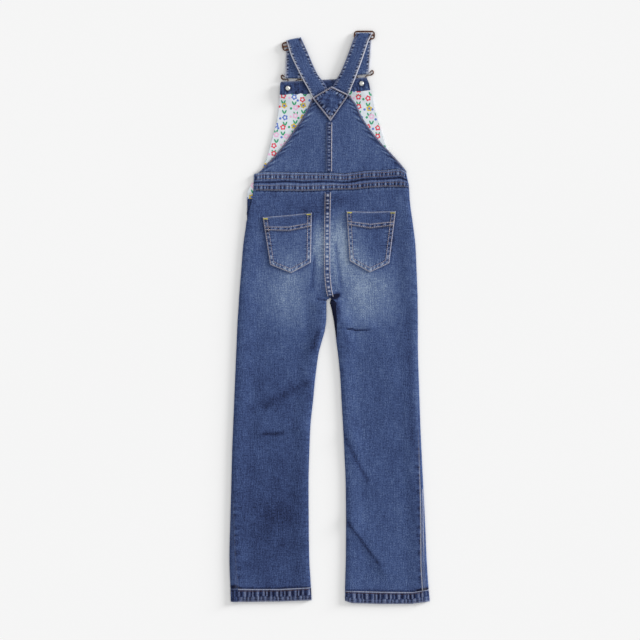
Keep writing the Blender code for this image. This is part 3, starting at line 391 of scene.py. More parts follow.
# The strap's hanging run: its height at shares of the way from the bar to the slider. Behind it
# the cloth returns for a share of that way
FRONT_RUN = table("s z", [
    (0.0, 4.9), (0.1, 4.3), (0.25, 3.1), (0.42, 3.0), (0.6, 1.9), (0.76, 0.9), (0.88, 0.9), (1.0, 0.9),
])
RETURN_END = 0.38

# Rows of points along the upper run of a strap, from its slider to the patch
UPPER_ROWS = 80

# The open side: the left edges of the printed facing and of the placket below it, and where they
# end, under the back leg and, above the step, under the waistband
SIDE_FACING = table("y x", [(213.3, -148.4), (225.4, -147.8), (233.9, -143.9), (243.0, -137.9)])
SIDE_PLACKET = table("y x", [(184.5, -149.3), (193.0, -148.6), (213.0, -148.2)])
UNDER_LEG = -128.0
UNDER_BAND = -137.6
FACING_STEP = 226.2

# Half of a buckle's wire: from the middle of its bar round an ear to the button's neck
EAR = table("out up z", [
    (0.0, 0.0, 2.9), (8.0, 0.0, 2.9), (15.2, 0.0, 2.9), (17.4, 1.8, 2.8), (19.6, 2.8, 2.4),
    (21.2, 1.2, 2.0), (20.4, -2.6, 1.5), (16.4, -4.7, 1.3), (9.0, -5.0, 1.3),
])

# The wire's radius, and how much thicker its ears are, from how far out along the bar
WIRE = 0.8
EAR_MORE = 0.35
EAR_FROM = 15.0

# The loop's way round the button's neck, over its head
NECK_CLEAR = 4.0
BUTTON_HEAD = 1.6

# A rivet's cap: radius and height, from the middle of its dome over its lip to the cloth
RIVET = [
    (0.0, 1.35), (1.0, 1.33), (2.0, 1.24), (2.7, 1.05), (2.95, 0.6), (3.0, 0.2), (3.35, 0.15), (3.4, 0.5),
    (3.7, 0.72), (3.95, 0.68), (4.12, 0.5), (4.15, 0.2), (4.1, 0.0),
]
RIVET_FOOT = BIB_LIFT + DENIM + GAP + FACING + GAP


def colour_prop(name, description, hex_colour):
    """A colour that a user may change, given as sRGB hex."""
    return bpy.props.FloatVectorProperty(
        name=name, description=description, subtype="COLOR", size=4, min=0.0, max=1.0,
        default=linear(hex_colour),
    )


def size_prop(name, description, value, least, most):
    """A size in millimetres that a user may change."""
    return bpy.props.FloatProperty(
        name=f"{name} (mm)", description=description, default=value, min=least, max=most,
    )


def linear(hex_colour):
    """An sRGB hex value as linear colour with alpha 1."""
    parts = np.array([int(hex_colour[i:i + 2], 16) for i in (1, 3, 5)]) / 255.0
    lin = np.where(parts <= 0.04045, parts / 12.92, ((parts + 0.055) / 1.055) ** 2.4)
    return (*lin.tolist(), 1.0)


class OverallsDenim(bpy.types.PropertyGroup):
    """Indigo twill and its wear."""

    # This darkest colour is mostly painted shade: in creases, in the crotch's hollow and beside raised edges
    shade_indigo: colour_prop("Creases", "Indigo in creases and beside seams", "#10152e")
    deep: colour_prop("Deep indigo", "Unwashed areas", "#2a375c")
    indigo: colour_prop("Indigo", "Denim after its first wash", "#3f517b")
    washed: colour_prop("Washed", "Seat and thighs", "#607294")
    faded: colour_prop("Faded", "The lightest wash", "#8999b0")
    bare: colour_prop("Bare weft", "Edges worn down to the undyed weft", "#c3c4cd")
    slub: size_prop("Slub length", "Length of the streaks of thick warp threads", 22.0, 2.0, 80.0)
    thread: size_prop("Thread spacing", "Spacing of the twill's lines, drawn coarse to show", 1.15, 0.3, 4.0)
    pucker: size_prop("Pucker spacing", "Spacing of the puckers along a felled seam", 7.0, 2.0, 20.0)


class OverallsSewing(bpy.types.PropertyGroup):
    """Topstitching."""

    tan: colour_prop("Tan thread", "Topstitching of the pockets and the felled seams", "#b4a8a6")
    brown: colour_prop("Brown thread", "Topstitching of the waistband and the bib", "#796660")
    dark: colour_prop("Dark thread", "Topstitching of the hems", "#553b33")
    tack: colour_prop("Bar tack thread", "Bar tacks of the pockets", "#aaa23c")
    stitch: size_prop("Stitch", "Length of a stitch", 2.7, 1.0, 6.0)
    space: size_prop("Space", "Space between stitches", 0.65, 0.2, 3.0)
    thick: size_prop("Thread", "Thickness of the thread", 0.8, 0.2, 1.5)


class OverallsPrint(bpy.types.PropertyGroup):
    """Flower print of the cotton lining."""

    ground: colour_prop("Ground", "Cotton between the flowers", "#d3d9df")
    leaf: colour_prop("Leaves", "Leaves of the print", "#3b9a70")
    red: colour_prop("Red flowers", "First flower colour", "#d24a5a")
    yellow: colour_prop("Yellow flowers", "Second flower colour", "#cfb544")
    blue: colour_prop("Blue flowers", "Third flower colour", "#6079bf")
    pink: colour_prop("Pink flowers", "Fourth flower colour", "#dfb2d0")
    repeat: size_prop("Flower spacing", "Distance between flowers", 17.0, 5.0, 40.0)
    flower: size_prop("Flower", "Radius of a flower", 5.2, 1.0, 10.0)


class OverallsStage(bpy.types.PropertyGroup):
    """Metal, floor and light."""

    copper: colour_prop("Antique copper", "Sliders, buckles and buttons", "#50352b")
    nickel: colour_prop("Rivet caps", "Rivet caps of the bib", "#dcdcd8")
    floor: colour_prop("Floor", "The pale floor", "#f1f1f1")
    key: bpy.props.FloatProperty(
        name="Key light", description="Strength of the light low on the right, which draws the long shadows",
        default=4.7, min=0.0, max=10.0,
    )
    fill: bpy.props.FloatProperty(
        name="Fill light", description="Strength of the light from all round",
        default=0.76, min=0.0, max=5.0,
    )
    camera_height: bpy.props.FloatProperty(
        name="Camera height", description="Height of the camera above the floor",
        default=2.72, min=1.0, max=10.0, unit="LENGTH",
    )


SETTINGS = {
    "overalls_denim": OverallsDenim,
    "overalls_sewing": OverallsSewing,
    "overalls_print": OverallsPrint,
    "overalls_stage": OverallsStage,
}


# Shapes

def ease(t):
    """Smooth step from 0 to 1."""
    t = np.clip(t, 0.0, 1.0)
    return t * t * (3.0 - 2.0 * t)


def bell(distance, middle, wide):
    """A bell of height 1 about a distance: e to the minus square of how many widths away it is."""
    return np.exp(-((distance - middle) / wide) ** 2)


def look_up(tab, column, at, key="y"):
    """Straight lines between a table's rows."""
    order = np.argsort(tab[key])
    return np.interp(at, tab[key][order], tab[column][order])


def curve_through(tab, column, at, key="y"):
    """Smooth curve through a table's rows: a cubic between rows that never passes beyond them.

    A row's slope is the harmonic mean of its two neighbours' slopes, or zero at a turning point.
    """
    order = np.argsort(tab[key])
    knots = tab[key][order]
    values = tab[column][order]
    secant = np.diff(values) / np.diff(knots)
    left, right = secant[:-1], secant[1:]
    same = left * right > 0
    mean = np.where(same, 2 * left * right / np.where(same, left + right, 1.0), 0.0)
    slopes = np.concatenate([secant[:1], mean, secant[-1:]])
    at = np.clip(at, knots[0], knots[-1])
    i = np.clip(np.searchsorted(knots, at) - 1, 0, len(knots) - 2)
    step = knots[i + 1] - knots[i]
    t = (at - knots[i]) / step
    ends = values[i] * (1 + 2 * t) * (1 - t) ** 2 + values[i + 1] * t * t * (3 - 2 * t)
    return ends + step * t * (1 - t) * (slopes[i] * (1 - t) - slopes[i + 1] * t)


def from_line(x, y, x0, y0, x1, y1):
    """Distance across a line from start to end, and past either of its ends."""
    length = math.hypot(x1 - x0, y1 - y0)
    along = ((x - x0) * (x1 - x0) + (y - y0) * (y1 - y0)) / length
    across = ((x - x0) * (y1 - y0) - (y - y0) * (x1 - x0)) / length
    return across, np.maximum(0.0, np.maximum(-along, along - length))


def folds(x, y):
    """Height that the folds add: a bell across each ridge, dying out past its two ends."""
    total = np.zeros(np.broadcast(x, y).shape)
    for *line, high, wide, steep in zip(*FOLDS.values()):
        across, past = from_line(x, y, *line)
        reach = np.where(across > 0.0, wide, steep)
        total = total + high * np.exp(-(across / reach) ** 2 - (past / 14.0) ** 2)
    return total


def creases(x, y):
    """Depth and painted shade of the sharp creases: a narrow bell across each line."""
    deep = np.zeros(np.broadcast(x, y).shape)
    dark = deep.copy()
    for *line, wide, depth, tone in zip(*CREASES.values()):
        across, past = from_line(x, y, *line)
        near = np.exp(-(across / wide) ** 2 - (past / (2.0 * wide)) ** 2)
        deep += depth * near
        dark += tone * near
    return deep, dark


def wash_and_shade(x, y):
    """Tone of the washed areas, and the painted shade of the crotch and the hem corners: a sum of soft
    ovals.
    """
    total = np.zeros(np.broadcast(x, y).shape)
    for cx, cy, rx, ry, turn, tone in zip(*WASH_AND_SHADE.values()):
        c, s = math.cos(math.radians(turn)), math.sin(math.radians(turn))
        u = ((x - cx) * c + (y - cy) * s) / rx
        v = ((y - cy) * c - (x - cx) * s) / ry
        total += tone * np.exp(-(u * u + v * v) ** 1.25)
    return total


def ripple(s, spacing, seed=0.0):
    """Uneven puckers along a seam, from -1 to 1: a sine whose phase and size wander."""
    phase = 2 * math.pi * s / spacing + seed
    wander = 1.3 * np.sin(0.29 * phase + 2.0 * seed) + 0.6 * np.sin(0.71 * phase + seed)
    return np.sin(phase + wander) * (0.72 + 0.28 * np.sin(0.41 * phase + 3.0 * seed))


def cells(s, spacing, seed=0.0):
    """Gathered cloth between two rows of stitches, from -1 in its dents to 1: ripples, made squarer."""
    return np.tanh(1.9 * ripple(s, spacing, seed))


def beside(path, x, y, reach=3.0):
    """Shade close beside the edges of a path, from 0 to 1: the greatest of a bell for each edge."""
    shade = np.zeros(np.broadcast(x, y).shape)
    for start, end in zip(path[:-1], path[1:]):
        across, past = from_line(x, y, *start, *end)
        shade = np.maximum(shade, np.exp(-(across / reach) ** 2 - (past / reach) ** 2))
    return shade


def limp(x, y):
    """Gentle unevenness of laid cloth: crossing sines with wavelengths of 20 to 70 mm."""
    return 0.12 * (
        np.sin(0.11 * x + 0.05 * y + 1.0) * np.sin(0.07 * y - 0.03 * x)
        + 0.7 * np.sin(0.21 * x - 0.09 * y + 2.0) * np.sin(0.13 * y + 0.5)
        + 0.5 * np.sin(0.31 * y + 0.17 * x)
    )


class Tube:
    """A stretch of the lower body, laid flat: a front panel on the floor, a back panel on it.

    Its outer edge is the side seam's and its inner edge the inseam's. Places across it are
    distances from one of these edges. The front cloth turns up round the edge, on two quarter
    ellipses, and laps on to the back up to the seam, and the back cloth goes on from there.
    """

    def __init__(self, outline, lap, turn, cloth, lines):
        self.outline = outline
        self.lap = lap
        self.turn = turn
        self.front_cloth, self.back_cloth = cloth
        self.lines = lines[:, None]
        self.inward = 1.0 if outline["outer"][0] < outline["inner"][0] else -1.0

    def height(self, x, y):
        """Height of the back's outer face, before its edges' puff and its folds."""
        raise NotImplementedError

    def edge_x(self, edge, y, inside):
        """The x that lies a distance inside an edge."""
        way = self.inward if edge == "outer" else -self.inward
        return curve_through(self.outline, edge, y) + way * inside

    def inside(self, edge, x, y):
        """Distance of x inside an edge."""
        way = self.inward if edge == "outer" else -self.inward
        return (x - curve_through(self.outline, edge, y)) * way

    def top(self, x, y):
        """Height of the back's outer face, away from the turn of its edges."""
        opened = look_up(self.turn, "inner", y)
        rim = np.maximum(
            1.0 - ease((self.inside("outer", x, y) - TOP_REACH) / PUFF_REACH),
            opened * (1.0 - ease((self.inside("inner", x, y) - TOP_REACH) / PUFF_REACH)),
        )
        high = self.height(x, y)
        return high + np.maximum(EDGE_HIGH - high, 0.0) * rim + folds(x, y)

    def over(self, edge, y, inside, cloth, turned):
        """Both faces of cloth on the back, near an edge: x and z, outer face then inner."""
        fold = look_up(self.turn, "fold", y)
        x = self.edge_x(edge, y, inside)
        share = np.minimum(inside, TOP_REACH) / TOP_REACH
        root = 1.0 + turned * (np.sqrt(1.0 - (1.0 - share) ** 2) - 1.0)
        high = self.top(x, y)
        inner_x = self.edge_x(edge, y, inside + turned * cloth * (1.0 - share))
        return x, fold + (high - fold) * root, inner_x, fold + (high - cloth - fold) * root

    def front_edge(self, edge, fine):
        """The front panel's run at an edge, from its seam round the fold to the floor."""
        y = self.lines
        turned, fold = look_up(self.turn, edge, y), look_up(self.turn, "fold", y)
        lap = look_up(self.lap, edge, y)
        cloth = self.front_cloth
        lapped = lap * np.linspace(1.0, 0.0, fine, endpoint=False) ** 1.5
        angle = np.linspace(0.0, math.pi / 2, fine + 1)
        under = FLOOR_REACH * (1.0 - np.cos(angle)) + 0.0 * y
        out_x, out_z, in_x, in_z = self.over(edge, y, lapped, cloth, 1.0)
        out_x = np.hstack([out_x, self.edge_x(edge, y, under)])
        out_z = np.hstack([out_z, fold * (1.0 - np.sin(angle))])
        in_x = np.hstack([in_x, self.edge_x(edge, y, under + cloth * np.cos(angle))])
        in_z = np.hstack([in_z, fold - (fold - cloth) * np.sin(angle)])
        flat_x = self.edge_x(edge, y, np.linspace(GAP / 2, FLOOR_REACH, 2 * fine + 1) + 0.0 * y)
        outer = np.stack([flat_x + turned * (out_x - flat_x), turned * out_z], axis=2)
        return outer, np.stack([flat_x + turned * (in_x - flat_x), cloth + turned * (in_z - cloth)], axis=2)

    def back_edge(self, edge, fine):
        """The back panel's run at an edge, from its seam inwards."""
        y = self.lines
        turned = look_up(self.turn, edge, y) if edge == "inner" else 1.0 + 0.0 * y
        share = 1.0 - np.cos(np.linspace(0.0, math.pi / 2, fine + 1))
        start = look_up(self.lap, edge, y) + GAP
        inside = start + (np.maximum(TOP_REACH, start + 3.0) - start) * share
        flat_at = GAP / 2 + (TOP_REACH - GAP / 2) * share
        inside = flat_at + turned * (inside - flat_at)
        out_x, out_z, in_x, in_z = self.over(edge, y, inside, self.back_cloth, turned)
        return np.stack([out_x, out_z], axis=2), np.stack([in_x, in_z], axis=2)

    def panel(self, side, fine, middle):
        """Both faces of a panel as grids of x, y and z, a row for each line along it."""
        run = self.front_edge if side == "front" else self.back_edge
        (left_out, left_in), (right_out, right_in) = run("outer", fine), run("inner", fine)
        share = np.linspace(0.0, 1.0, middle + 2)[1:-1]
        x = left_out[:, -1:, 0] + (right_out[:, -1:, 0] - left_out[:, -1:, 0]) * share
        if side == "front":
            out_z, in_z = 0.0 * x, self.front_cloth + 0.0 * x
        else:
            out_z = self.top(x, self.lines)
            in_z = out_z - self.back_cloth
        grids = []
        for left, z, right in ((left_out, out_z, right_out), (left_in, in_z, right_in)):
            points = np.concatenate([left, np.stack([x, z], axis=2), right[:, ::-1]], axis=1)
            bent = self.bend(self.lines, points[..., 0])
            grids.append(np.stack([points[..., 0], bent, points[..., 1]], axis=2))
        return grids


class Leg(Tube):
    """A leg from the waistband down to its hem; its end rows follow both of them."""

    def __init__(self, outline, lap, turn, hem, lines):
        super().__init__(outline, lap, turn, (DENIM, DENIM), lines)
        self.hem = hem

    def height(self, x, y):
        """Height of the back's outer face, by its place down the leg."""
        return look_up(BACK_HEIGHT, "high", y) + 0.0 * x

    def bend(self, y, x):
        """A row's real y at each x."""
        to_band = ease((y - LEG_TOP + BEND_BAND) / BEND_BAND)
        to_hem = ease((LEG_END + BEND_HEM - y) / BEND_HEM)
        band = look_up(BAND_BOTTOM, "y", x, "x") - GAP - LEG_TOP
        hem = look_up(self.hem, "top", x, "x") + GAP - LEG_END
        return y + to_band * band + to_hem * hem


class HemTube(Tube):
    """The turned hem at the end of a leg."""

    def __init__(self, leg, rows):
        self.spread = np.linspace(0.0, 1.0, rows)
        super().__init__(leg.outline, leg.lap, leg.turn, (HEM, HEM), -488.0 - 23.0 * self.spread)
        self.hem = leg.hem

    def height(self, x, y):
        """Height of the hem's outer face, the same all over."""
        return HEM_HEIGHT + 0.0 * x

    def bend(self, y, x):
        """A row's real y at each x."""
        top = look_up(self.hem, "top", x, "x")
        return top + self.spread[:, None] * (look_up(self.hem, "bottom", x, "x") - top)


class BandTube(Tube):
    """The waistband, all the way across."""

    def __init__(self, rows):
        self.spread = np.linspace(0.0, 1.0, rows)
        lines = 228.0 + 30.0 * self.spread
        super().__init__(BAND_ENDS, BAND_LAP, BAND_TURN, (FRONT_BAND, BACK_BAND), lines)

    def height(self, x, y):
        """Height of the waistband's outer face, the same all over."""
        return BAND_HEIGHT + 0.0 * x

    def bend(self, y, x):
        """A row's real y at each x."""
        bottom = look_up(BAND_BOTTOM, "y", x, "x")
        return bottom + self.spread[:, None] * (look_up(BAND_TOP, "y", x, "x") - bottom)


def lift(x, y):
    """Height of the front bib's underside, over its buckles and buttons."""
    high = 0.0
    for cx, cy in LIFT_CENTRES:
        away = np.hypot(x - cx, y - cy)
        high = np.maximum(high, BIB_LIFT * (1.0 - ease((away - LIFT_FLAT) / LIFT_FALL)))
    return high


def bib_top(x, y):
    """Height of the back bib's upper face."""
    return BACK_BIB_UNDER + DENIM + lift(x, y) + folds(x, y)


# Meshes

def mesh_of(name, points, faces, smooth=True):
    """A mesh from arrays of points, in millimetres, and of faces."""
    mesh = bpy.data.meshes.new(name)
    mesh.from_pydata((points * MM).tolist(), [], faces.tolist() if hasattr(faces, "tolist") else faces)
    if smooth:
        mesh.shade_smooth()
        mesh.set_sharp_from_angle(angle=math.radians(60))
    mesh.update()
    return mesh


def place(name, mesh, material):
    """Show a mesh as a piece that rides on the garment."""
    piece = bpy.data.objects.new(name, mesh)
    mesh.materials.append(material)
    bpy.context.scene.collection.objects.link(piece)
    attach(piece, "root")
    return piece


def grid_faces(rows, columns):
    """Quads between neighbouring points of a grid."""
    index = np.arange(rows * columns).reshape(rows, columns)
    return np.stack([index[:-1, :-1], index[:-1, 1:], index[1:, 1:], index[1:, :-1]], axis=2).reshape(-1, 4)


def shell_faces(rows, columns):
    """Quads of two grids of points, one behind the other, and of the rim between them."""
    grid = np.arange(rows * columns).reshape(rows, columns)
    quads = grid_faces(rows, columns)
    ring = np.concatenate([grid[0], grid[1:, -1], grid[-1, -2::-1], grid[-2:0:-1, 0]])
    after = np.roll(ring, -1)
    far = rows * columns
    sides = np.stack([after, ring, ring + far, after + far], axis=1)
    return np.concatenate([quads, quads[:, ::-1] + far, sides])


def cloth(name, outer, inner, material, slot, rests_on, tone=0.0, worn=0.0, weave=None):
    """A wall of cloth between two grids of points, closed round its rim, that stands for a CAD node.

    Its tone and wear are kept for each point, and weave is where the point lies on the cloth,
    across and along it, in millimetres.
    """
    rows, columns = outer.shape[:2]
    points = np.concatenate([outer.reshape(-1, 3), inner.reshape(-1, 3)])
    faces = shell_faces(rows, columns)
    a, b, c = (points[faces[:, k]] for k in range(3))
    if (a * np.cross(b, c)).sum() < 0:
        faces = faces[:, ::-1]
    mesh = mesh_of(name, points, faces)
    if weave is None:
        weave = outer
    for attribute, kind, values in (
        ("tone", "value", np.broadcast_to(tone, (rows, columns))),
        ("worn", "value", np.broadcast_to(worn, (rows, columns))),
        ("weave", "vector", np.broadcast_to(weave, (rows, columns, 3))),
    ):
        layer = mesh.attributes.new(attribute, "FLOAT" if kind == "value" else "FLOAT_VECTOR", "POINT")
        layer.data.foreach_set(kind, np.tile(values.ravel(), 2).astype(np.float32))
    piece = place(f"{name}_cloth", mesh, material)
    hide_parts(name)
    return piece


# Finishes

MATHS = "ShaderNodeMath"
PLACE_MATHS = "ShaderNodeVectorMath"
RAMP = "ShaderNodeValToRGB"
ATTRIBUTE = "ShaderNodeAttribute"
NOISE = "ShaderNodeTexNoise"
MIX = "ShaderNodeMix"
BUMP = "ShaderNodeBump"


def node(tree, kind, inputs=(), stops=(), steps=False, **settings):
    """Add a shader node, its settings by name, and return the first of its outputs in use.

    The inputs are a dictionary by name, or a list in the node's order, of values and of other
    nodes' sockets. Stops are a colour ramp's positions and colours, which may go in steps.
    """
    made = tree.nodes.new(kind)
    for name, value in settings.items():
        setattr(made, name, value)
    for name, value in inputs.items() if isinstance(inputs, dict) else enumerate(inputs):
        if isinstance(value, bpy.types.NodeSocket):
            tree.links.new(value, made.inputs[name])
        else:
            made.inputs[name].default_value = value
    if stops:
        elements = made.color_ramp.elements
        while len(elements) < len(stops):
            elements.new(0.5)
        for element, (position, colour) in zip(elements, stops):
            element.position = position
            element.color = colour
        made.color_ramp.interpolation = "CONSTANT" if steps else "LINEAR"
    return next(output for output in made.outputs if output.enabled)


def finish_of(name, roughness, metallic, paint):
    """The material of this name, made and painted when it is first asked for."""
    known = bpy.data.materials.get(name)
    if known:
        return known
    material = bpy.data.materials.new(name)
    material.use_nodes = True
    tree = material.node_tree
    shader = next(made for made in tree.nodes if made.type == "BSDF_PRINCIPLED")
    shader.inputs["Roughness"].default_value = roughness
    shader.inputs["Metallic"].default_value = metallic
    paint(tree, shader)
    return material


def shaded(colour, share):
    """A colour made darker or lighter by a share of itself."""
    return (*(min(1.0, share * part) for part in colour[:3]), 1.0)


def blotches(tree, place_in, across, along, detail, seed):
    """Noise stretched to blotches of a width and a length in millimetres, from 0 to 1."""
    size = (1.0 / across, 1.0 / along, 1.0)
    scaled = node(tree, PLACE_MATHS, (place_in, size), operation="MULTIPLY")
    moved = node(tree, PLACE_MATHS, (scaled, (seed, seed, 0.0)))
    return node(tree, NOISE, {"Vector": moved, "Scale": 1.0, "Detail": detail}, noise_dimensions="2D")


# Unevenness of the denim: width and length of each kind of blotch, in millimetres. Worn warp and
# weft threads show as streaks, the grain is the salt and pepper of crossing threads, and clouds
# come from tumbling in the washing machine.
WARP_WIDE = 2.4
WEFT_LONG = 0.6
WEFT_WIDE = 2.2
GRAIN = (1.9, 2.6)
CLOUD = (34.0, 42.0)

# How much warp, weft, grain and cloud each tell on the tone, and what is taken off their sum, so
# that a tone of zero is indigo
HEATHER = (0.34, 0.28, 0.66, 0.2)
HEATHER_MIDDLE = 0.24


def stone_washed_denim():
    """Indigo warp twill, stone washed: heathered, streaked along the warp, white weft at its edges.

    Ring-spun warp threads vary in thickness, so they show as streaks some 20 mm long. The
    real twill lines are 0.6 mm apart, too fine to show, and are drawn twice as coarse. Brushed
    cotton is matt, so the roughness is high and the gloss low.
    """
    look = bpy.context.scene.overalls_denim

    def paint(tree, shader):
        weave = node(tree, ATTRIBUTE, attribute_name="weave").node.outputs["Vector"]
        # The tone holds the cloth's wash and wear, and also painted shade and painted shadow, which take it
        # down towards the darkest colour
        tone = node(tree, ATTRIBUTE, attribute_name="tone").node.outputs["Fac"]
        worn = node(tree, ATTRIBUTE, attribute_name="worn").node.outputs["Fac"]
        warp = blotches(tree, weave, WARP_WIDE, look.slub, 2.0, 3.0)
        weft = blotches(tree, weave, look.slub * WEFT_LONG, WEFT_WIDE, 2.0, 17.0)
        grain = blotches(tree, weave, *GRAIN, 2.0, 31.0)
        cloud = blotches(tree, weave, *CLOUD, 2.0, 47.0)
        level = tone
        for part, share in zip((warp, weft, grain, cloud), HEATHER):
            level = node(tree, MATHS, (part, share, level), operation="MULTIPLY_ADD")
        level = node(tree, MATHS, (level, HEATHER_MIDDLE), operation="SUBTRACT")
        shade = node(tree, RAMP, (level,), [
            (0.0, look.shade_indigo), (0.25, look.deep), (0.5, look.indigo), (0.78, look.washed),
            (1.0, look.faded),
        ])
        ragged = node(tree, MATHS, (grain, 1.0, 0.5), operation="MULTIPLY_ADD")
        rubbed = node(tree, MATHS, (worn, ragged), operation="MULTIPLY")
        colour = node(tree, MIX, {0: rubbed, 6: shade, 7: look.bare}, data_type="RGBA")
        tree.links.new(colour, shader.inputs["Base Color"])
        slope = (1.0 / look.thread, 0.6 / look.thread, 0.0)
        slant = node(tree, PLACE_MATHS, (weave, slope), operation="DOT_PRODUCT")
        turns = node(tree, MATHS, (slant, 2 * math.pi), operation="MULTIPLY")
        twill = node(tree, MATHS, (turns,), operation="SINE")
        rough = node(tree, MATHS, (grain, 2.4), operation="MULTIPLY")
        ribbed = node(tree, MATHS, (twill, 0.35, rough), operation="MULTIPLY_ADD")
        relief = node(tree, MATHS, (warp, 1.2, ribbed), operation="MULTIPLY_ADD")
        bump = node(tree, BUMP, {"Strength": 0.5, "Distance": 0.4 * MM, "Height": relief})
        tree.links.new(bump, shader.inputs["Normal"])
        shader.inputs["Specular IOR Level"].default_value = 0.15

    return finish_of("stone_washed_denim", 0.93, 0.0, paint)


# A petal's swing as shares of the flower's radius, the eye and the buds as shares of it too
PETAL_SWING = 0.13
PETAL_MEAN = 0.9
EYE = 0.4
BUD = 0.42

# A leaf: how far it leans, how far its middle lies aside, and its half width and length, in mm
LEAF_LEAN = 0.45
LEAF_DROOP = 0.3
LEAF_ASIDE = 2.3
LEAF_WIDE = 1.6
LEAF_LONG = 4.1


def printed_cotton():
    """Cotton poplin, screen printed with small flowers, each over a pair of leaves, and loose buds.

    The flowers stand on a jittered grid. Each one's colour is drawn by lot, and its edge is a
    circle whose radius swings five times round. The leaves are two slanting ovals, from a
    second look at the same grid, moved up, and the buds are dots, from a third. The ink is flat
    and sharp edged, and the cloth is thin, so it is gently crumpled.
    """
    look = bpy.context.scene.overalls_print

    def paint(tree, shader):
        weave = node(tree, ATTRIBUTE, attribute_name="weave").node.outputs["Vector"]

        def from_motif(aside, up):
            """Where the cloth lies from the middle of the nearest motif, how far, and its lots."""
            moved = node(tree, PLACE_MATHS, (weave, (aside, up, 0.0)))
            grid = {"Vector": moved, "Scale": 1.0 / look.repeat, "Randomness": 0.42}
            cell = node(tree, "ShaderNodeTexVoronoi", grid, voronoi_dimensions="2D").node
            away = node(tree, PLACE_MATHS, (moved, cell.outputs["Position"]), operation="SUBTRACT")
            x, y, _ = node(tree, "ShaderNodeSeparateXYZ", (away,)).node.outputs
            x_square = node(tree, MATHS, (x, x), operation="MULTIPLY")
            y_square = node(tree, MATHS, (y, y), operation="MULTIPLY")
            square = node(tree, MATHS, (x_square, y_square), operation="ADD")
            radius = node(tree, MATHS, (square,), operation="SQRT")
            lots = node(tree, "ShaderNodeSeparateColor", (cell.outputs["Color"],)).node.outputs
            return x, y, radius, lots

        _, _, radius, (_, bud_lot, _) = from_motif(0.5 * look.repeat, 0.1 * look.repeat)
        bud = node(tree, MATHS, (radius, look.flower * BUD), operation="LESS_THAN")
        bud_colour = node(tree, RAMP, (bud_lot,), [
            (0.0, look.blue), (0.34, look.leaf), (0.6, look.pink), (0.8, look.red),
        ], steps=True)

        x, y, radius, (lot, _, turn_lot) = from_motif(0.0, 0.0)
        angle = node(tree, MATHS, (y, x), operation="ARCTAN2")
        turned = node(tree, MATHS, (turn_lot, 6.0, angle), operation="MULTIPLY_ADD")
        fivefold = node(tree, MATHS, (turned, 5.0), operation="MULTIPLY")
        wave = node(tree, MATHS, (fivefold,), operation="COSINE")
        petals = node(tree, MATHS, (wave, PETAL_SWING, PETAL_MEAN), operation="MULTIPLY_ADD")
        edge = node(tree, MATHS, (petals, look.flower), operation="MULTIPLY")
        flower = node(tree, MATHS, (radius, edge), operation="LESS_THAN")
        flower_colour = node(tree, RAMP, (lot,), [
            (0.0, look.red), (0.3, look.yellow), (0.52, look.blue), (0.76, look.pink),
        ], steps=True)
        eye = node(tree, MATHS, (radius, look.flower * EYE), operation="LESS_THAN")
        eye_colour = node(tree, RAMP, (lot,), [
            (0.0, look.ground), (0.3, look.blue), (0.52, look.ground), (0.76, look.ground),
        ], steps=True)

        x, y, _, _ = from_motif(0.0, look.flower * 2.0)
        side = node(tree, MATHS, (x,), operation="ABSOLUTE")
        leaning = node(tree, MATHS, (y, -LEAF_LEAN, side), operation="MULTIPLY_ADD")
        aside = node(tree, MATHS, (leaning, LEAF_ASIDE), operation="SUBTRACT")
        leaf_x = node(tree, MATHS, (aside, LEAF_WIDE), operation="DIVIDE")
        drooping = node(tree, MATHS, (side, LEAF_DROOP, y), operation="MULTIPLY_ADD")
        leaf_y = node(tree, MATHS, (drooping, LEAF_LONG), operation="DIVIDE")
        x_square = node(tree, MATHS, (leaf_x, leaf_x), operation="MULTIPLY")
        y_square = node(tree, MATHS, (leaf_y, leaf_y), operation="MULTIPLY")
        square = node(tree, MATHS, (x_square, y_square), operation="ADD")
        leaf = node(tree, MATHS, (square, 1.0), operation="LESS_THAN")

        colour = look.ground
        inks = ((bud, bud_colour), (leaf, look.leaf), (flower, flower_colour), (eye, eye_colour))
        for mask, above in inks:
            colour = node(tree, MIX, {0: mask, 6: colour, 7: above}, data_type="RGBA")
        tree.links.new(colour, shader.inputs["Base Color"])
        crumple = blotches(tree, weave, 9.0, 14.0, 3.0, 5.0)
        bump = node(tree, BUMP, {"Strength": 0.4, "Distance": 0.8 * MM, "Height": crumple})
        tree.links.new(bump, shader.inputs["Normal"])
        shader.inputs["Specular IOR Level"].default_value = 0.25

    return finish_of("printed_cotton", 0.85, 0.0, paint)


def cotton_thread(name, colour):
    """Spun and dyed cotton topstitching: matt, rubbed paler in places 6 mm long by washing."""
    def paint(tree, shader):
        where = node(tree, "ShaderNodeTexCoord").node.outputs["Object"]
        in_mm = node(tree, PLACE_MATHS, (where, (1.0 / MM, 1.0 / MM, 0.0)), operation="MULTIPLY")
        rubbed = blotches(tree, in_mm, 6.0, 6.0, 2.0, 9.0)
        stops = [(0.3, shaded(colour, 0.62)), (0.5, tuple(colour)), (0.72, shaded(colour, 1.3))]
        tree.links.new(node(tree, RAMP, (rubbed,), stops), shader.inputs["Base Color"])

    return finish_of(name, 0.8, 0.0, paint)


def plated_metal(name, colour, roughness, wear):
    """Stamped and plated metal: the plating is rubbed brighter in blotches 2 to 3 mm wide."""
    def paint(tree, shader):
        where = node(tree, "ShaderNodeTexCoord").node.outputs["Object"]
        rubbed = node(tree, NOISE, {"Vector": where, "Scale": 420.0, "Detail": 3.0})
        stops = [(0.42, tuple(colour)), (0.68, shaded(colour, wear))]
        tree.links.new(node(tree, RAMP, (rubbed,), stops), shader.inputs["Base Color"])

    return finish_of(name, roughness, 1.0, paint)


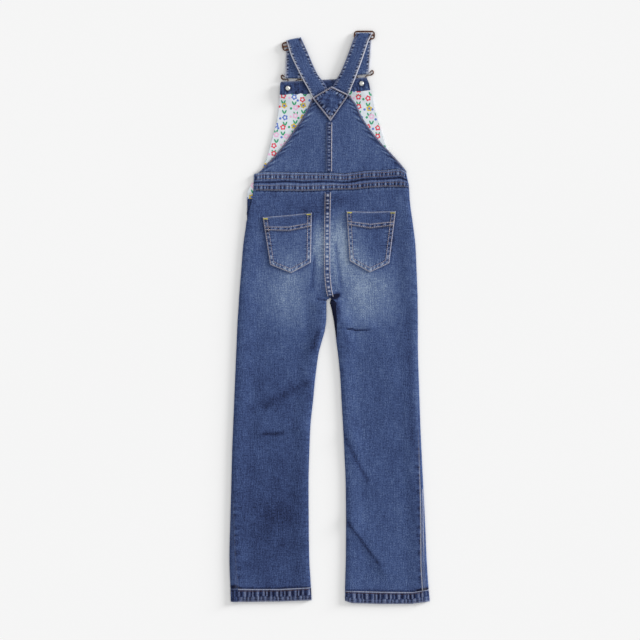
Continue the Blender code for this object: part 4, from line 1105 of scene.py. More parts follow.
def matt_white_paper(colour):
    """Seamless background paper, uncoated: no gloss, and clouds half a metre wide, hardly to be seen."""
    def paint(tree, shader):
        where = node(tree, "ShaderNodeTexCoord").node.outputs["Object"]
        cloud = node(tree, NOISE, {"Vector": where, "Scale": 2.0, "Detail": 1.0})
        stops = [(0.3, shaded(colour, 0.995)), (0.7, tuple(colour))]
        tree.links.new(node(tree, RAMP, (cloud,), stops), shader.inputs["Base Color"])
        shader.inputs["Specular IOR Level"].default_value = 0.0

    return finish_of("matt_white_paper", 1.0, 0.0, paint)


# Pieces

LEG_LINES = np.unique(np.concatenate([
    np.linspace(LEG_TOP, LEG_END, 340), np.linspace(LEG_TOP, LEG_TOP - 7.0, 9),
    np.linspace(LEG_END, LEG_END + 6.0, 8), [35.0, 31.0, 27.0],
]))[::-1]
LEGS = {
    "left": Leg(LEFT_LEG, LEFT_LAP, LEFT_TURN, LEFT_HEM, LEG_LINES),
    "right": Leg(RIGHT_LEG, RIGHT_LAP, RIGHT_TURN, RIGHT_HEM, LEG_LINES),
}
EDGE_FINE = 6
FRONT_COLUMNS = 14
BACK_COLUMNS = 68


def pocket_corners(side):
    """The three upper and the three lower corners of a pocket, as x and y."""
    corners = POCKETS[side]
    top = np.stack([corners["top_x"], corners["top_y"]], axis=1)
    return top, np.stack([corners["low_x"], corners["low_y"]], axis=1)


def pocket_lines(side):
    """The sewn edges of a pocket, down one side, along its V and up the other, as x and y."""
    top, low = pocket_corners(side)
    return np.array([top[0], low[0], low[1], low[2], top[2]])


def front_leg_finish(side, leg, outer):
    """Tone and wear of a front leg: painted shade where it laps on to the back, worn along its felled seam.
    """
    x = outer[..., 0]
    line = leg.lines + 0.0 * x
    outer_lap = look_up(leg.lap, "outer", line)
    lapped = ease((look_up(leg.lap, "inner", line) - 1.3) / 2.0)
    tone = LEG_TONE[side] + wash_and_shade(x, outer[..., 1])
    # Painted shade where the front turns up into the crotch's hollow, under the back's edge
    tone -= 0.85 * lapped * (leg.inside("inner", x, line) < 20.0)
    from_row = leg.inside("outer", x, line) - outer_lap + 3.4
    worn = 0.8 * SEAM_WORN[side] * bell(from_row, 0.0, 0.8) * (outer_lap > 5.0)
    return tone, worn * (outer[..., 2] > 2.0)


def back_leg_finish(side, leg, outer):
    """Relief, tone and wear of a back leg: its creases, its washed areas and its puckered seams.

    Puckers run along each seam and die out away from it, as a bell. The cloth is darker close
    beside a seam, and lighter on the ridge below the waistband. Painted shadow darkens it beside
    a pocket, just under the waistband and just above the hem, and painted shade fills its creases
    and the hollow of the crotch.
    """
    pucker = bpy.context.scene.overalls_denim.pucker
    x, y = outer[..., 0], outer[..., 1]
    line = leg.lines + 0.0 * x
    outer_lap = look_up(leg.lap, "outer", line)
    from_outer = leg.inside("outer", x, line) - outer_lap
    from_inner = leg.inside("inner", x, line) - look_up(leg.lap, "inner", line)
    from_band = look_up(BAND_BOTTOM, "y", x, "x") - y
    from_hem = y - look_up(leg.hem, "top", x, "x")
    felled = ease((outer_lap - 2.0) / 2.0) * (line < FELLED_BELOW)
    seat = ease((line - CROTCH) / 6.0)
    at_outer = ripple(line, 2.2 * pucker, 1.0) * bell(from_outer, 2.0, 7.0)
    at_inner = ripple(line, 1.6 * pucker, 2.0) * bell(from_inner, 2.0, 6.0) * (1 - seat)
    at_seat = ripple(line, pucker, 3.0) * bell(from_inner, 7.0, 4.0) * seat
    below_band = ripple(x, pucker, 4.0) * bell(from_band, 0.0, 6.0)
    puckers = (0.35 + 0.65 * felled) * at_outer + 0.5 * at_inner + 0.6 * at_seat + 0.8 * below_band
    hold = ease(np.minimum(from_outer, from_inner) / TOP_REACH)
    deep, dark = creases(x, y)
    relief = (0.45 * puckers + limp(x, y) - deep) * hold
    # Painted shade in the creases and the crotch's hollow, and painted shadow beside the pockets
    tone = LEG_TONE[side] + wash_and_shade(x, y) - dark + 0.18 * puckers - 0.2 * beside(pocket_lines(side), x, y)
    tone -= SEAM_DARK[side] * bell(from_outer, 3.0, 4.0) * felled
    # Painted shadow just under the waistband, with a lighter line below it, and just above the hem
    tone += 0.12 * bell(from_band, 3.6, 1.3) - 0.28 * bell(from_band, 1.0, 1.1)
    tone -= 0.24 * bell(from_hem, 2.0, 2.0)
    below_knee = 0.35 + 0.65 * ease((-250.0 - line) / 90.0)
    worn = SEAM_WORN[side] * below_knee * felled * bell(from_outer, 0.8, 1.1)
    return relief, tone, worn


class MakeLegs(bpy.types.Operator):
    """Front and back panel of each leg, from the waistband to the hem"""

    bl_idname = "overalls.legs"
    bl_label = "Legs"

    def execute(self, context):
        denim = stone_washed_denim()
        for side, leg in LEGS.items():
            outer, inner = leg.panel("front", EDGE_FINE, FRONT_COLUMNS)
            tone, worn = front_leg_finish(side, leg, outer)
            cloth(f"front_leg_{side}", outer, inner, denim, "denim", [], tone, worn)
            outer, inner = leg.panel("back", EDGE_FINE, BACK_COLUMNS)
            relief, tone, worn = back_leg_finish(side, leg, outer)
            outer[..., 2] += relief
            rests = [f"front_leg_{side}_cloth"]
            cloth(f"back_leg_{side}", outer, inner, denim, "denim", rests, tone, worn)
        return {"FINISHED"}


def band_finish(look, spread, x, spacing, strength, pale):
    """Relief, tone and wear of a gathered band: a section across it, and puckers along it.

    The section wanders a little across the band. The puckers above its middle seam are spaced
    closer than those below it, and their crowns are rubbed pale.
    """
    inside = (4 * spread * (1 - spread))[:, None]
    v = spread[:, None] + BAND_WANDER * np.sin(x / 15.0) * np.sin(x / 41.0 + 1.0) * inside
    rise, tone, gather, worn = (look_up(look, name, v, "v") for name in ("rise", "tone", "gather", "worn"))
    upper = ease((v - 0.56) / 0.06)
    bars = cells(x, spacing) * (1 - upper) + cells(x, 0.93 * spacing, 2.0) * upper
    worn = worn + pale * gather * np.maximum(bars, 0.0) ** 2
    return rise + 0.45 * gather * bars, tone + strength * gather * bars, worn


def raise_band(outer, relief):
    """Add relief to a band's outer face, dying out towards the folds at its two ends."""
    x = outer[..., 0]
    from_end = np.minimum(np.abs(x - x[:, :1]), np.abs(x - x[:, -1:]))
    outer[..., 2] += relief * np.minimum(1.0, from_end / TOP_REACH)


class MakeHems(bpy.types.Operator):
    """Front and back half of each leg's turned hem"""

    bl_idname = "overalls.hems"
    bl_label = "Hems"

    def execute(self, context):
        denim = stone_washed_denim()
        for side, leg in LEGS.items():
            hem = HemTube(leg, 26)
            outer, inner = hem.panel("front", EDGE_FINE, 20)
            _, tone, worn = band_finish(HEM_LOOK, hem.spread, outer[..., 0], HEM_PUCKER, 0.26, 0.08)
            tone += FRONT_HEM_TONE[side]
            worn *= FRONT_HEM_WORN[side] * (outer[..., 2] > 2.0)
            cloth(f"hem_front_{side}", outer, inner, denim, "denim_dark", [], tone, worn)
            outer, inner = hem.panel("back", EDGE_FINE, 96)
            relief, tone, worn = band_finish(HEM_LOOK, hem.spread, outer[..., 0], HEM_PUCKER, 0.26, 0.2)
            raise_band(outer, relief)
            tone += 1.5 * LEG_TONE[side]
            rests = [f"hem_front_{side}_cloth"]
            cloth(f"hem_back_{side}", outer, inner, denim, "denim_dark", rests, tone, worn)
        return {"FINISHED"}


class MakeWaistband(bpy.types.Operator):
    """Front and back half of the waistband, the back one gathered by its rows of stitches"""

    bl_idname = "overalls.waistband"
    bl_label = "Waistband"

    def execute(self, context):
        denim = stone_washed_denim()
        band = BandTube(40)
        outer, inner = band.panel("front", EDGE_FINE, 20)
        cloth("front_waistband", outer, inner, denim, "denim", [])
        outer, inner = band.panel("back", EDGE_FINE, 170)
        x = outer[..., 0]
        relief, tone, worn = band_finish(BAND_LOOK, band.spread, x, BAND_PUCKER, 0.44, 0.12)
        raise_band(outer, relief)
        tone += 0.03 - 0.09 * ease((x - 10.0) / 30.0)
        cloth("back_waistband", outer, inner, denim, "denim", ["front_waistband_cloth"], tone, worn)
        return {"FINISHED"}


def bib_grid(low, high, rows, columns=64):
    """Points across the front bib between two slanting lines, given at its left and right edge.

    Its two upper corners are cut off a little, and its cloth waves gently beside the facing's seam.
    """
    u = np.linspace(0.0, 1.0, columns)
    v = np.linspace(0.0, 1.0, rows)[:, None]
    y = (low[0] + (low[1] - low[0]) * u) * (1 - v) + (high[0] + (high[1] - high[0]) * u) * v
    left = curve_through(FRONT_BIB_LEFT, "x", y)
    right = curve_through(FRONT_BIB_RIGHT, "x", y)
    corner = BIB_CORNER * ease((y - FRONT_BIB_TOP[0] + 5.0) / 12.0)
    x = left + corner + (right - left - 2 * corner) * u
    seam = FACING_BOTTOM[0] + (FACING_BOTTOM[1] - FACING_BOTTOM[0]) * u
    return np.stack([x, y + 1.1 * ripple(x, 24.0, 2.0) * bell(y, seam, 7.0)])


def laid(x, y, under, thick):
    """Cloth laid on what is under it: its outer and its inner face as grids of points."""
    low = np.stack([x, y, under + 0.0 * x], axis=2)
    high = low.copy()
    high[..., 2] += thick
    return high, low


class MakeFrontBib(bpy.types.Operator):
    """The front bib, with its denim facing and its printed cotton lining"""

    bl_idname = "overalls.front_bib"
    bl_label = "Front bib"

    def execute(self, context):
        denim = stone_washed_denim()
        lined = bib_grid(FRONT_BIB_WAIST, FACING_BOTTOM, 60)
        faced = bib_grid([y + GAP for y in FACING_BOTTOM], FRONT_BIB_TOP, 16)
        x, y = np.concatenate([lined, faced], axis=1)
        outer, inner = laid(x, y, lift(x, y), DENIM)
        cloth("front_bib", outer, inner, denim, "denim", [], -0.05)
        rests = ["front_bib_cloth"]
        on_bib = DENIM + GAP
        x, y = lined
        from_side = np.minimum(x - x[:, :1], x[:, -1:] - x)
        outer, inner = laid(x, y, lift(x, y) + on_bib, LINING)
        outer[..., 2] += 0.16 * ripple(y, 11.0, 1.0) * bell(from_side, 3.0, 5.0) + 0.5 * limp(x, y)
        cloth("front_bib_lining", outer, inner, printed_cotton(), "cotton_print", rests)
        x, y = faced
        from_foot, from_head = y - y[:1], y[-1:] - y
        outer, inner = laid(x, y, lift(x, y) + on_bib, FACING)
        puckers = ripple(x, 6.5, 2.0) * bell(from_foot, 4.0, 3.5)
        outer[..., 2] += 0.3 * puckers - 0.35 * np.exp(-from_foot / 1.2) - 0.35 * np.exp(-from_head / 1.2)
        tone = 0.4 * puckers - 0.2 + 0.08 * bell(from_foot, 1.0, 1.0) + 0.1 * ripple(x + 0.6 * y, 13.0)
        for cx, cy in BUTTON_AT.values():
            from_rivet = np.hypot(x - cx, y - cy)
            tone += 0.12 * bell(from_rivet, 9.5, 1.5) - 0.2 * bell(from_rivet, 6.0, 1.6)
        worn = 0.25 * np.exp(-from_head / 1.2)
        cloth("front_bib_facing", outer, inner, denim, "denim_dark", rests, tone, worn)
        return {"FINISHED"}


def centre_strip(name, low, high, under, dots, strength, left_edge, rests):
    """A felled seam down the middle of the back, as a strip laid on it.

    Its middle is a row of worn dots at a spacing, its edges roll down, and its left edge shows as
    strongly as left_edge says, against 1 for the right one.
    """
    y = np.linspace(high, low, int((high - low) / 1.1))[:, None]
    middle = curve_through(SEAM_MIDDLE, "x", y)
    x = middle + SEAM_HALF * np.linspace(-1.0, 1.0, 21)
    y = y + 0.0 * x
    outer, inner = laid(x, y, under(x, y) + GAP, SEAM_STRIP)
    across = np.abs(x - middle)
    bead = cells(y, dots, 1.0) * bell(across, 0.0, 2.1)
    groove = bell(across, 3.4, 0.9)
    outer[..., 2] += 0.3 * bead - 0.25 * groove - 1.0 * np.exp(-(SEAM_HALF - across) / 0.8)
    shown = np.where(x < middle, left_edge, 1.0)
    tone = wash_and_shade(x, y) - 0.16 + 0.34 * bead - 0.2 * groove * shown
    worn = strength * np.maximum(bead, 0.0) + 0.45 * shown * bell(across, 4.8, 0.8)
    cloth(name, outer, inner, stone_washed_denim(), "denim_light", rests, tone, worn)


def back_bib_grid(edge, away, rows=76, columns=46):
    """Points across half of the back bib, from its centre seam out to its diagonal edge.

    The lowest row follows the waistband's top, whose height depends on x, as x does on the height,
    so both are worked out in turn until they agree. It also gives the middle, the edge and the foot.
    """
    share = np.linspace(0.0, 1.0, rows)[:, None]
    u = np.linspace(0.0, 1.0, columns)
    start = LEFT_LEG["inner"][0]
    foot = BAND_TOP["y"][0] + 0.0 * u
    for _ in range(6):
        foot_x = start + (look_up(edge, "x", foot) - start) * u
        foot = look_up(BAND_TOP, "y", foot_x, "x") + GAP + 0.2
    y = foot + (BACK_BIB_TOP - foot) * share
    middle = curve_through(CENTRE, "x", y) + away * GAP / 2
    rim = look_up(edge, "x", y)
    return middle + (rim - middle) * u, y, middle, rim, foot


class MakeBackBib(bpy.types.Operator):
    """The two halves of the back bib and the felled seam between them"""

    bl_idname = "overalls.back_bib"
    bl_label = "Back bib"

    def execute(self, context):
        denim = stone_washed_denim()
        for side, edge, away in (("left", BACK_BIB_LEFT, -1.0), ("right", BACK_BIB_RIGHT, 1.0)):
            x, y, middle, rim, foot = back_bib_grid(edge, away)
            outer, inner = laid(x, y, bib_top(x, y) - DENIM, DENIM)
            from_edge = EDGE_SLANT * np.abs(rim - x)
            from_middle = np.abs(x - middle)
            from_foot = y - foot
            puckers = cells(y + 0.5 * np.abs(x), 7.6, 5.0) * bell(from_edge, 6.5, 3.0)
            by_seam = ripple(y, 5.9, 3.0) * bell(from_middle, 7.5, 2.6)
            above_band = ripple(x, 8.0, 6.0) * bell(from_foot, 3.0, 5.0)
            deep, dark = creases(x, y)
            outer[..., 2] += 0.45 * puckers + 0.3 * by_seam + 0.2 * above_band + 0.8 * limp(x, y) - deep
            outer[..., 2] -= 0.5 * np.exp(-from_edge / 0.8)
            # Painted shade in the creases, and painted shadow beside the patch's edges
            tone = wash_and_shade(x, y) - dark + 0.32 * puckers + 0.14 * by_seam + 0.1 * above_band
            tone -= 0.12 * np.exp(-from_foot / 2.5)
            tone -= 0.16 * bell(from_edge, 3.2, 1.6) + 0.3 * beside(PATCH_EDGES, x, y, 3.4)
            worn = 0.2 * np.exp(-from_edge / 1.2)
            rests = ["front_bib_lining_cloth"]
            cloth(f"back_bib_{side}", outer, inner, denim, "denim", rests, tone, worn)
        rests = ["back_bib_left_cloth", "back_bib_right_cloth"]
        centre_strip("back_bib_seam", 262.0, 350.0, bib_top, 5.9, 0.3, 0.2, rests)
        return {"FINISHED"}


def seat_top(x, y):
    """Height of the seat's upper face, on both sides of its centre seam."""
    middle = curve_through(CENTRE, "x", y)
    return np.where(x < middle, LEGS["left"].top(x, y), LEGS["right"].top(x, y))


def make_pocket(side):
    """A patch pocket: a sheet between its mouth and its V, its mouth turned to the outside.

    Its distances are from the nearest sewn edge (rim), from its mouth, and from the end of the
    mouth's turned cloth (fold, below zero on that cloth). Beads are the puckers between the two
    rows of stitches, and more puckers run inside them.
    """
    top, low = pocket_corners(side)
    u = np.linspace(0.0, 2.0, 61)
    v = np.unique(np.append(np.linspace(0.0, 1.0, 56), [POCKET_MOUTH - 0.012, POCKET_MOUTH]))[:, None]
    upper, lower = ([np.interp(u, range(3), ends[:, axis]) for axis in (0, 1)] for ends in (top, low))
    x, y = (above * (1 - v) + below * v for above, below in zip(upper, lower))
    thick = np.where(v < POCKET_MOUTH - 0.001, MOUTH_CLOTH, DENIM) + 0.0 * x
    outer, inner = laid(x, y, LEGS[side].top(x, y) + GAP + 0.05, thick)

    wide = np.abs(x[:, -1:] - x[:, :1])
    high = np.hypot(y[:1] - y[-1:], x[:1] - x[-1:])
    from_side = np.minimum(u, 2.0 - u) / 2.0 * wide
    from_foot = (1 - v) * high
    rim = np.minimum(from_side, from_foot)
    mouth = v * high
    fold = mouth - POCKET_MOUTH * high
    along = np.where(from_side < from_foot, y, 1.15 * x)
    at_foot = ease((0.35 * high - from_foot) / (0.2 * high))

    between = bell(rim, 4.5, 1.7) * ease((mouth - 3.0) / 4.0)
    bead = cells(along, 8.4, 2.0) * between
    puckers = ripple(along, 5.6, 4.0) * bell(rim, 11.0, 4.5) * (fold > 0.0)
    mouth_bead = cells(x, 8.8, 1.0) * bell(fold, -3.6, 1.4) * ease((rim - 6.0) / 3.0)
    outer[..., 2] += 0.25 * bead + 0.1 * between + 0.2 * puckers + 0.25 * mouth_bead
    outer[..., 2] += 0.6 * limp(x, y + 40.0) * ease(rim / 8.0)
    outer[..., 2] -= 0.9 * np.exp(-np.minimum(rim, mouth) / 0.8)

    tone = wash_and_shade(x, y) + 0.4 * bead - (0.14 - 0.18 * at_foot) * between + 0.24 * puckers
    # Painted shadow: just under the mouth's turned cloth here, and just inside each row of stitches below
    tone += 0.4 * mouth_bead - 0.07 * (fold < 0.0) - 0.26 * bell(fold, 1.2, 1.8)
    tone -= 0.18 * bell(rim, 2.6, 0.8) + 0.2 * bell(rim, 8.6, 1.2) * (mouth > 4.0)
    worn = 0.34 * np.exp(-rim / 1.1) + 0.4 * np.exp(-mouth / 1.0)
    worn += 0.3 * bell(fold, -0.5, 0.7) + 0.2 * bell(fold, -7.2, 0.7)
    worn += (0.1 + 0.2 * at_foot) * np.maximum(bead, 0.0) + 0.15 * np.maximum(mouth_bead, 0.0)
    rests = [f"back_leg_{side}_cloth"]
    cloth(f"pocket_{side}", outer, inner, stone_washed_denim(), "denim", rests, tone, worn)


class MakeSeat(bpy.types.Operator):
    """The seat's felled centre seam and the two patch pockets"""

    bl_idname = "overalls.seat"
    bl_label = "Seat seam and pockets"

    def execute(self, context):
        rests = ["back_leg_left_cloth", "back_leg_right_cloth"]
        centre_strip("seat_seam", 37.0, 224.5, seat_top, 7.8, 0.7, 0.8, rests)
        for side in POCKETS:
            make_pocket(side)
        return {"FINISHED"}


class MakePatch(bpy.types.Operator):
    """The kite-shaped patch over the strap ends, its folded edges worn pale"""

    bl_idname = "overalls.patch"
    bl_label = "Strap patch"

    def execute(self, context):
        left, top, right, bottom = (np.array(corner) for corner in PATCH)
        u = np.linspace(0.0, 1.0, 45)[:, None, None]
        v = np.linspace(0.0, 1.0, 45)[None, :, None]
        grid = (1 - u) * (1 - v) * left + u * (1 - v) * top + u * v * right + (1 - u) * v * bottom
        x, y = grid[..., 0], grid[..., 1]
        on_straps = ease((y - 387.5 - 0.27 * np.abs(x) + 14.0) / 12.0)
        under = bib_top(x, y) + GAP + on_straps * (STRAP + GAP + 0.7)
        outer, inner = laid(x, y, under, PATCH_CLOTH)

        u, v = u[..., 0], v[..., 0]
        from_short, from_long = (np.minimum(u, 1 - u) * PATCH_SHORT, np.minimum(v, 1 - v) * PATCH_LONG)
        rim = np.minimum(from_short, from_long)
        along = np.where(from_short < from_long, PATCH_LONG * v, PATCH_SHORT * u)
        from_tip = np.hypot(x - bottom[0], y - bottom[1] - 8.0)
        puckers = cells(along, 6.2, 1.0) * bell(rim, 5.6, 2.6)
        mottled = ripple(x + 0.7 * y, 17.0, 2.0) * ripple(y - 0.4 * x, 13.0, 5.0)
        outer[..., 2] += 0.3 * puckers + 0.25 * bell(rim, 1.0, 0.9)
        outer[..., 2] -= 0.3 * bell(rim, 2.8, 0.8) + 0.5 * np.exp(-rim / 0.5)
        tone = -0.12 + 0.4 * puckers - 0.34 * bell(rim, 3.2, 1.0) + 0.34 * mottled
        worn = 0.6 * bell(rim, 0.7, 0.8) + 0.16 * np.maximum(puckers, 0.0) + 0.4 * bell(from_tip, 0.0, 2.2)
        rests = ["strap_left_cloth", "strap_right_cloth", "back_bib_left_cloth", "back_bib_right_cloth"]
        cloth("strap_patch", outer, inner, stone_washed_denim(), "denim_light", rests, tone, worn)
        return {"FINISHED"}


def across_bar(line, moved=0.0):
    """The two ends of a bar, moved sideways from it in the plane."""
    start, end = (np.array(point, float) for point in line)
    way = (end - start) / np.linalg.norm(end - start)
    up = np.array([-way[1], way[0]])
    return np.array([start + moved * up, end + moved * up])


def strap_rows(side, run):
    """Rows of a strap, as its two edge points, from its return end round to its end under the patch.

    Between the buckle's bar and the slider the rows are blends of the two, and round each of
    them they follow a half circle.
    """
    bar, fold = across_bar(BUCKLE_BAR[side]), across_bar(STRAP_FOLD[side])

    def between(share, z):
        ends = bar + share[:, None, None] * (fold - bar)
        return np.concatenate([ends, np.broadcast_to(z[:, None, None], (len(share), 2, 1))], axis=2)

    def round_bar(line, sign, middle, radius):
        turn = np.radians(np.arange(0.0, 181.0, 15.0))
        ends = np.array([across_bar(line, sign * radius * s) for s in np.sin(turn)])
        z = middle - radius * np.cos(turn)
        return np.concatenate([ends, np.broadcast_to(z[:, None, None], (len(turn), 2, 1))], axis=2)

    back = np.linspace(RETURN_END, 0.03, 9)
    hanging = np.linspace(0.05, 0.96, 40)
    order = np.linspace(0.0, 1.0, len(run["xl"]))
    fine = np.linspace(1.0, 0.0, UPPER_ROWS)
    upper = [curve_through({"s": order, name: run[name]}, name, fine, "s") for name in run]
    return np.concatenate([
        between(back, np.full(len(back), BAR_Z - BAR_RADIUS)),
        round_bar(BUCKLE_BAR[side], -1.0, BAR_Z, BAR_RADIUS),
        between(hanging, look_up(FRONT_RUN, "z", hanging, "s")),
        round_bar(STRAP_FOLD[side], 1.0, FOLD_Z, FOLD_RADIUS),
        np.stack(upper, axis=1).reshape(-1, 2, 3),
    ])


def normals_of(grid):
    """Unit normals of a grid of points: across its columns and along its rows."""
    along, across = np.gradient(grid, axis=0), np.gradient(grid, axis=1)
    normal = np.cross(across, along)
    return normal / np.linalg.norm(normal, axis=2, keepdims=True)


def length_along(path):
    """How far each point of a path lies from its start."""
    return np.append(0.0, np.cumsum(np.linalg.norm(np.diff(path, axis=0), axis=1)))


def make_strap(side, run, pale_edge):
    """A strap: its rows, thickened to both faces along their normals, with folded, sewn edges.

    Each edge has a ridge, then a groove and a row of puckers, or beads; its stitches are not drawn.
    Between the edges the cloth is mottled by crossing ripples. One edge is rubbed pale.
    """
    ends = strap_rows(side, run)
    share = np.linspace(0.0, 1.0, 33)[None, :, None]
    middle = ends[:, :1] * (1 - share) + ends[:, 1:] * share
    along = length_along(ends.mean(axis=1))[:, None]
    wide = np.linalg.norm(ends[:, 1] - ends[:, 0], axis=1)[:, None]
    u = share[..., 0]
    rim = np.minimum(u, 1 - u) * wide
    ridge = bell(rim, 0.9, 0.9)
    beads = cells(along, 5.9, 0.0) * bell(rim, 3.9, 1.7)
    relief = 0.35 * beads + 0.25 * ridge - 0.22 * bell(rim, 2.4, 0.7) - 0.45 * np.exp(-rim / 0.4)
    half = normals_of(middle) * (STRAP / 2 + relief)[..., None]
    outer, inner = middle + half, middle - half
    for face in (outer, inner):
        face[..., 2] = np.maximum(face[..., 2], 0.02)

    rubbed = (u < 0.5) if pale_edge == "left" else (u > 0.5)
    hangs = along < along[-UPPER_ROWS]
    worn = (0.12 + np.where(hangs, 0.6, 0.9) * rubbed) * bell(rim, 0.9, 1.2) + 0.4 * np.maximum(beads, 0.0)
    mottled = ripple(along + 2.0 * u * wide, 9.0, 4.0) * ripple(along - 1.3 * u * wide, 6.4, 1.0)
    tone = -0.04 + 0.6 * beads - 0.24 * bell(rim, 2.6, 0.8) + 0.42 * mottled * bell(rim, 10.0, 6.5)
    # Painted shadow beside the patch's edges
    tone -= 0.3 * beside(PATCH_EDGES, outer[..., 0], outer[..., 1], 3.4)
    weave = np.stack([u * wide, along + 0.0 * rim, 0.0 * rim], axis=2)
    rests = [f"back_bib_{side}_cloth"]
    cloth(f"strap_{side}", outer, inner, stone_washed_denim(), "denim", rests, tone, worn, weave)


class MakeStraps(bpy.types.Operator):
    """The two shoulder straps, round their buckles and sliders"""

    bl_idname = "overalls.straps"
    bl_label = "Straps"

    def execute(self, context):
        make_strap("left", LEFT_STRAP, "left")
        make_strap("right", RIGHT_STRAP, "right")
        return {"FINISHED"}


class MakeSideOpening(bpy.types.Operator):
    """The printed facing and the denim placket that show at the open side"""

    bl_idname = "overalls.side_opening"
    bl_label = "Side opening"

    def execute(self, context):
        under = DENIM + GAP
        y = np.concatenate([np.linspace(213.3, 226.0, 12), np.linspace(226.4, 242.6, 12)])[:, None]
        left = look_up(SIDE_FACING, "x", y)
        right = np.where(y < FACING_STEP, UNDER_LEG, UNDER_BAND)
        x = left + (right - left) * np.linspace(0.0, 1.0, 14)
        outer, inner = laid(x, y + 0.0 * x, under, LINING)
        rests = ["front_leg_left_cloth", "front_waistband_cloth"]
        weave = outer + (7.0, 5.0, 0.0)
        cloth("side_facing", outer, inner, printed_cotton(), "cotton_print", rests, weave=weave)
        y = np.linspace(184.5, 213.0, 20)[:, None]
        left = look_up(SIDE_PLACKET, "x", y)
        x = left + (UNDER_LEG - left) * np.linspace(0.0, 1.0, 14)
        outer, inner = laid(x, y + 0.0 * x, under, LINING)
        cloth("side_placket", outer, inner, stone_washed_denim(), "denim_dark", rests[:1], -0.2)
        return {"FINISHED"}


def wire_route(side):
    """A buckle's wire as a closed route: its bar, an ear at each end and a loop round the button."""
    bar = np.array(BUCKLE_BAR[side])
    middle = bar.mean(axis=0)
    way = (bar[1] - bar[0]) / np.linalg.norm(bar[1] - bar[0])
    up = np.array([-way[1], way[0]])
    neck = np.array(BUTTON_AT[side])
    low = BUTTON_HEAD + GAP + WIRE
    halves = []
    for sign in (-1.0, 1.0):
        flat = middle + sign * EAR["out"][:, None] * way + EAR["up"][:, None] * up
        waist = [neck + (sign * 4.3, 7.0), neck + (sign * NECK_CLEAR, 0.0)]
        heights = np.append(EAR["z"], [low + 0.1, low])
        halves.append(np.column_stack([np.concatenate([flat, waist]), heights]))
    foot = [(*(neck + (0.0, -NECK_CLEAR)), low)]
    return np.concatenate([halves[1], foot, halves[0][:0:-1]])


def closed_curve(route, points):
    """Evenly spaced points on a smooth closed curve: cubics between the route's points."""
    before, after, last = (np.roll(route, by, axis=0)[:, None] for by in (1, -1, -2))
    here = route[:, None]
    t = np.linspace(0.0, 1.0, 12, endpoint=False)[None, :, None]
    cubic = 2 * here + (after - before) * t + (2 * before - 5 * here + 4 * after - last) * t ** 2
    fine = ((cubic + (3 * here - 3 * after + last - before) * t ** 3) / 2).reshape(-1, 3)
    fine = np.concatenate([fine, fine[:1]])
    run = length_along(fine)
    at = np.linspace(0.0, run[-1], points, endpoint=False)
    return np.stack([np.interp(at, run, fine[:, axis]) for axis in range(3)], axis=1)


def wire(name, path, radius, sides=10):
    """A round section carried along a closed path, as a mesh: rings joined in turn.

    Radius is one for each point of the path.
    """
    along = np.roll(path, -1, axis=0) - np.roll(path, 1, axis=0)
    along /= np.linalg.norm(along, axis=1, keepdims=True)
    side_way = np.cross(along, (0.0, 0.0, 1.0))
    side_way /= np.maximum(np.linalg.norm(side_way, axis=1, keepdims=True), 1e-6)
    up = np.cross(side_way, along)
    turn = np.linspace(0.0, 2 * math.pi, sides, endpoint=False)[None, :, None]
    round_it = np.cos(turn) * side_way[:, None] + np.sin(turn) * up[:, None]
    points = path[:, None] + radius[:, None, None] * round_it
    index = np.arange(len(path) * sides).reshape(len(path), sides)
    next_ring, next_point = np.roll(index, -1, axis=0), np.roll(index, -1, axis=1)
    faces = np.stack([index, next_point, np.roll(next_ring, -1, axis=1), next_ring], axis=2).reshape(-1, 4)
    return mesh_of(name, points.reshape(-1, 3), faces)


def spun(name, profile, x, y, steps=28):
    """A profile of radius and height turned about an upright axis, from its top pole to its foot."""
    radius, height = np.array(profile).T
    turn = np.linspace(0.0, 2 * math.pi, steps, endpoint=False)
    ring = np.stack([
        x + radius[1:, None] * np.cos(turn), y + radius[1:, None] * np.sin(turn),
        height[1:, None] + 0.0 * turn,
    ], axis=2).reshape(-1, 3)
    points = np.concatenate([ring, [(x, y, height[0]), (x, y, height[-1])]])
    index = np.arange(len(ring)).reshape(-1, steps)
    after = np.roll(index, -1, axis=1)
    quads = np.stack([index[:-1], index[1:], after[1:], after[:-1]], axis=2).reshape(-1, 4)
    top, foot = (np.full(steps, len(ring) + k) for k in (0, 1))
    caps = np.concatenate([
        np.stack([top, index[0], after[0]], axis=1), np.stack([foot, after[-1], index[-1]], axis=1),
    ])
    return mesh_of(name, points, quads.tolist() + caps.tolist())


class MakeHardware(bpy.types.Operator):
    """Sliders, wire buckles, bib buttons and the caps of their rivets"""

    bl_idname = "overalls.hardware"
    bl_label = "Buckles, sliders and buttons"

    def execute(self, context):
        look = context.scene.overalls_stage
        copper = plated_metal("antique_copper_plate", look.copper, 0.38, 2.2)
        nickel = plated_metal("nickel_plate", look.nickel, 0.3, 1.1)
        for side in LEGS:
            for node_name in (f"slider_{side}", f"button_{side}"):
                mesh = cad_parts[node_name].data
                mesh.materials.clear()
                mesh.materials.append(copper)
            route = closed_curve(wire_route(side), 150)
            bar = np.array(BUCKLE_BAR[side])
            from_bar = np.abs(route[:, :2] - bar.mean(axis=0)) @ (1.0, 0.0)
            radius = WIRE + EAR_MORE * ease((from_bar - EAR_FROM) / 3.0)
            buckle = place(f"buckle_{side}_wire", wire(f"buckle_{side}_wire", route, radius), copper)
            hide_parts(f"buckle_{side}")
            profile = np.array(RIVET) + (0.0, RIVET_FOOT)
            cap = place(f"rivet_{side}_cap", spun(f"rivet_{side}_cap", profile, *BUTTON_AT[side]), nickel)
            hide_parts(f"rivet_{side}")
        return {"FINISHED"}


# Sewing

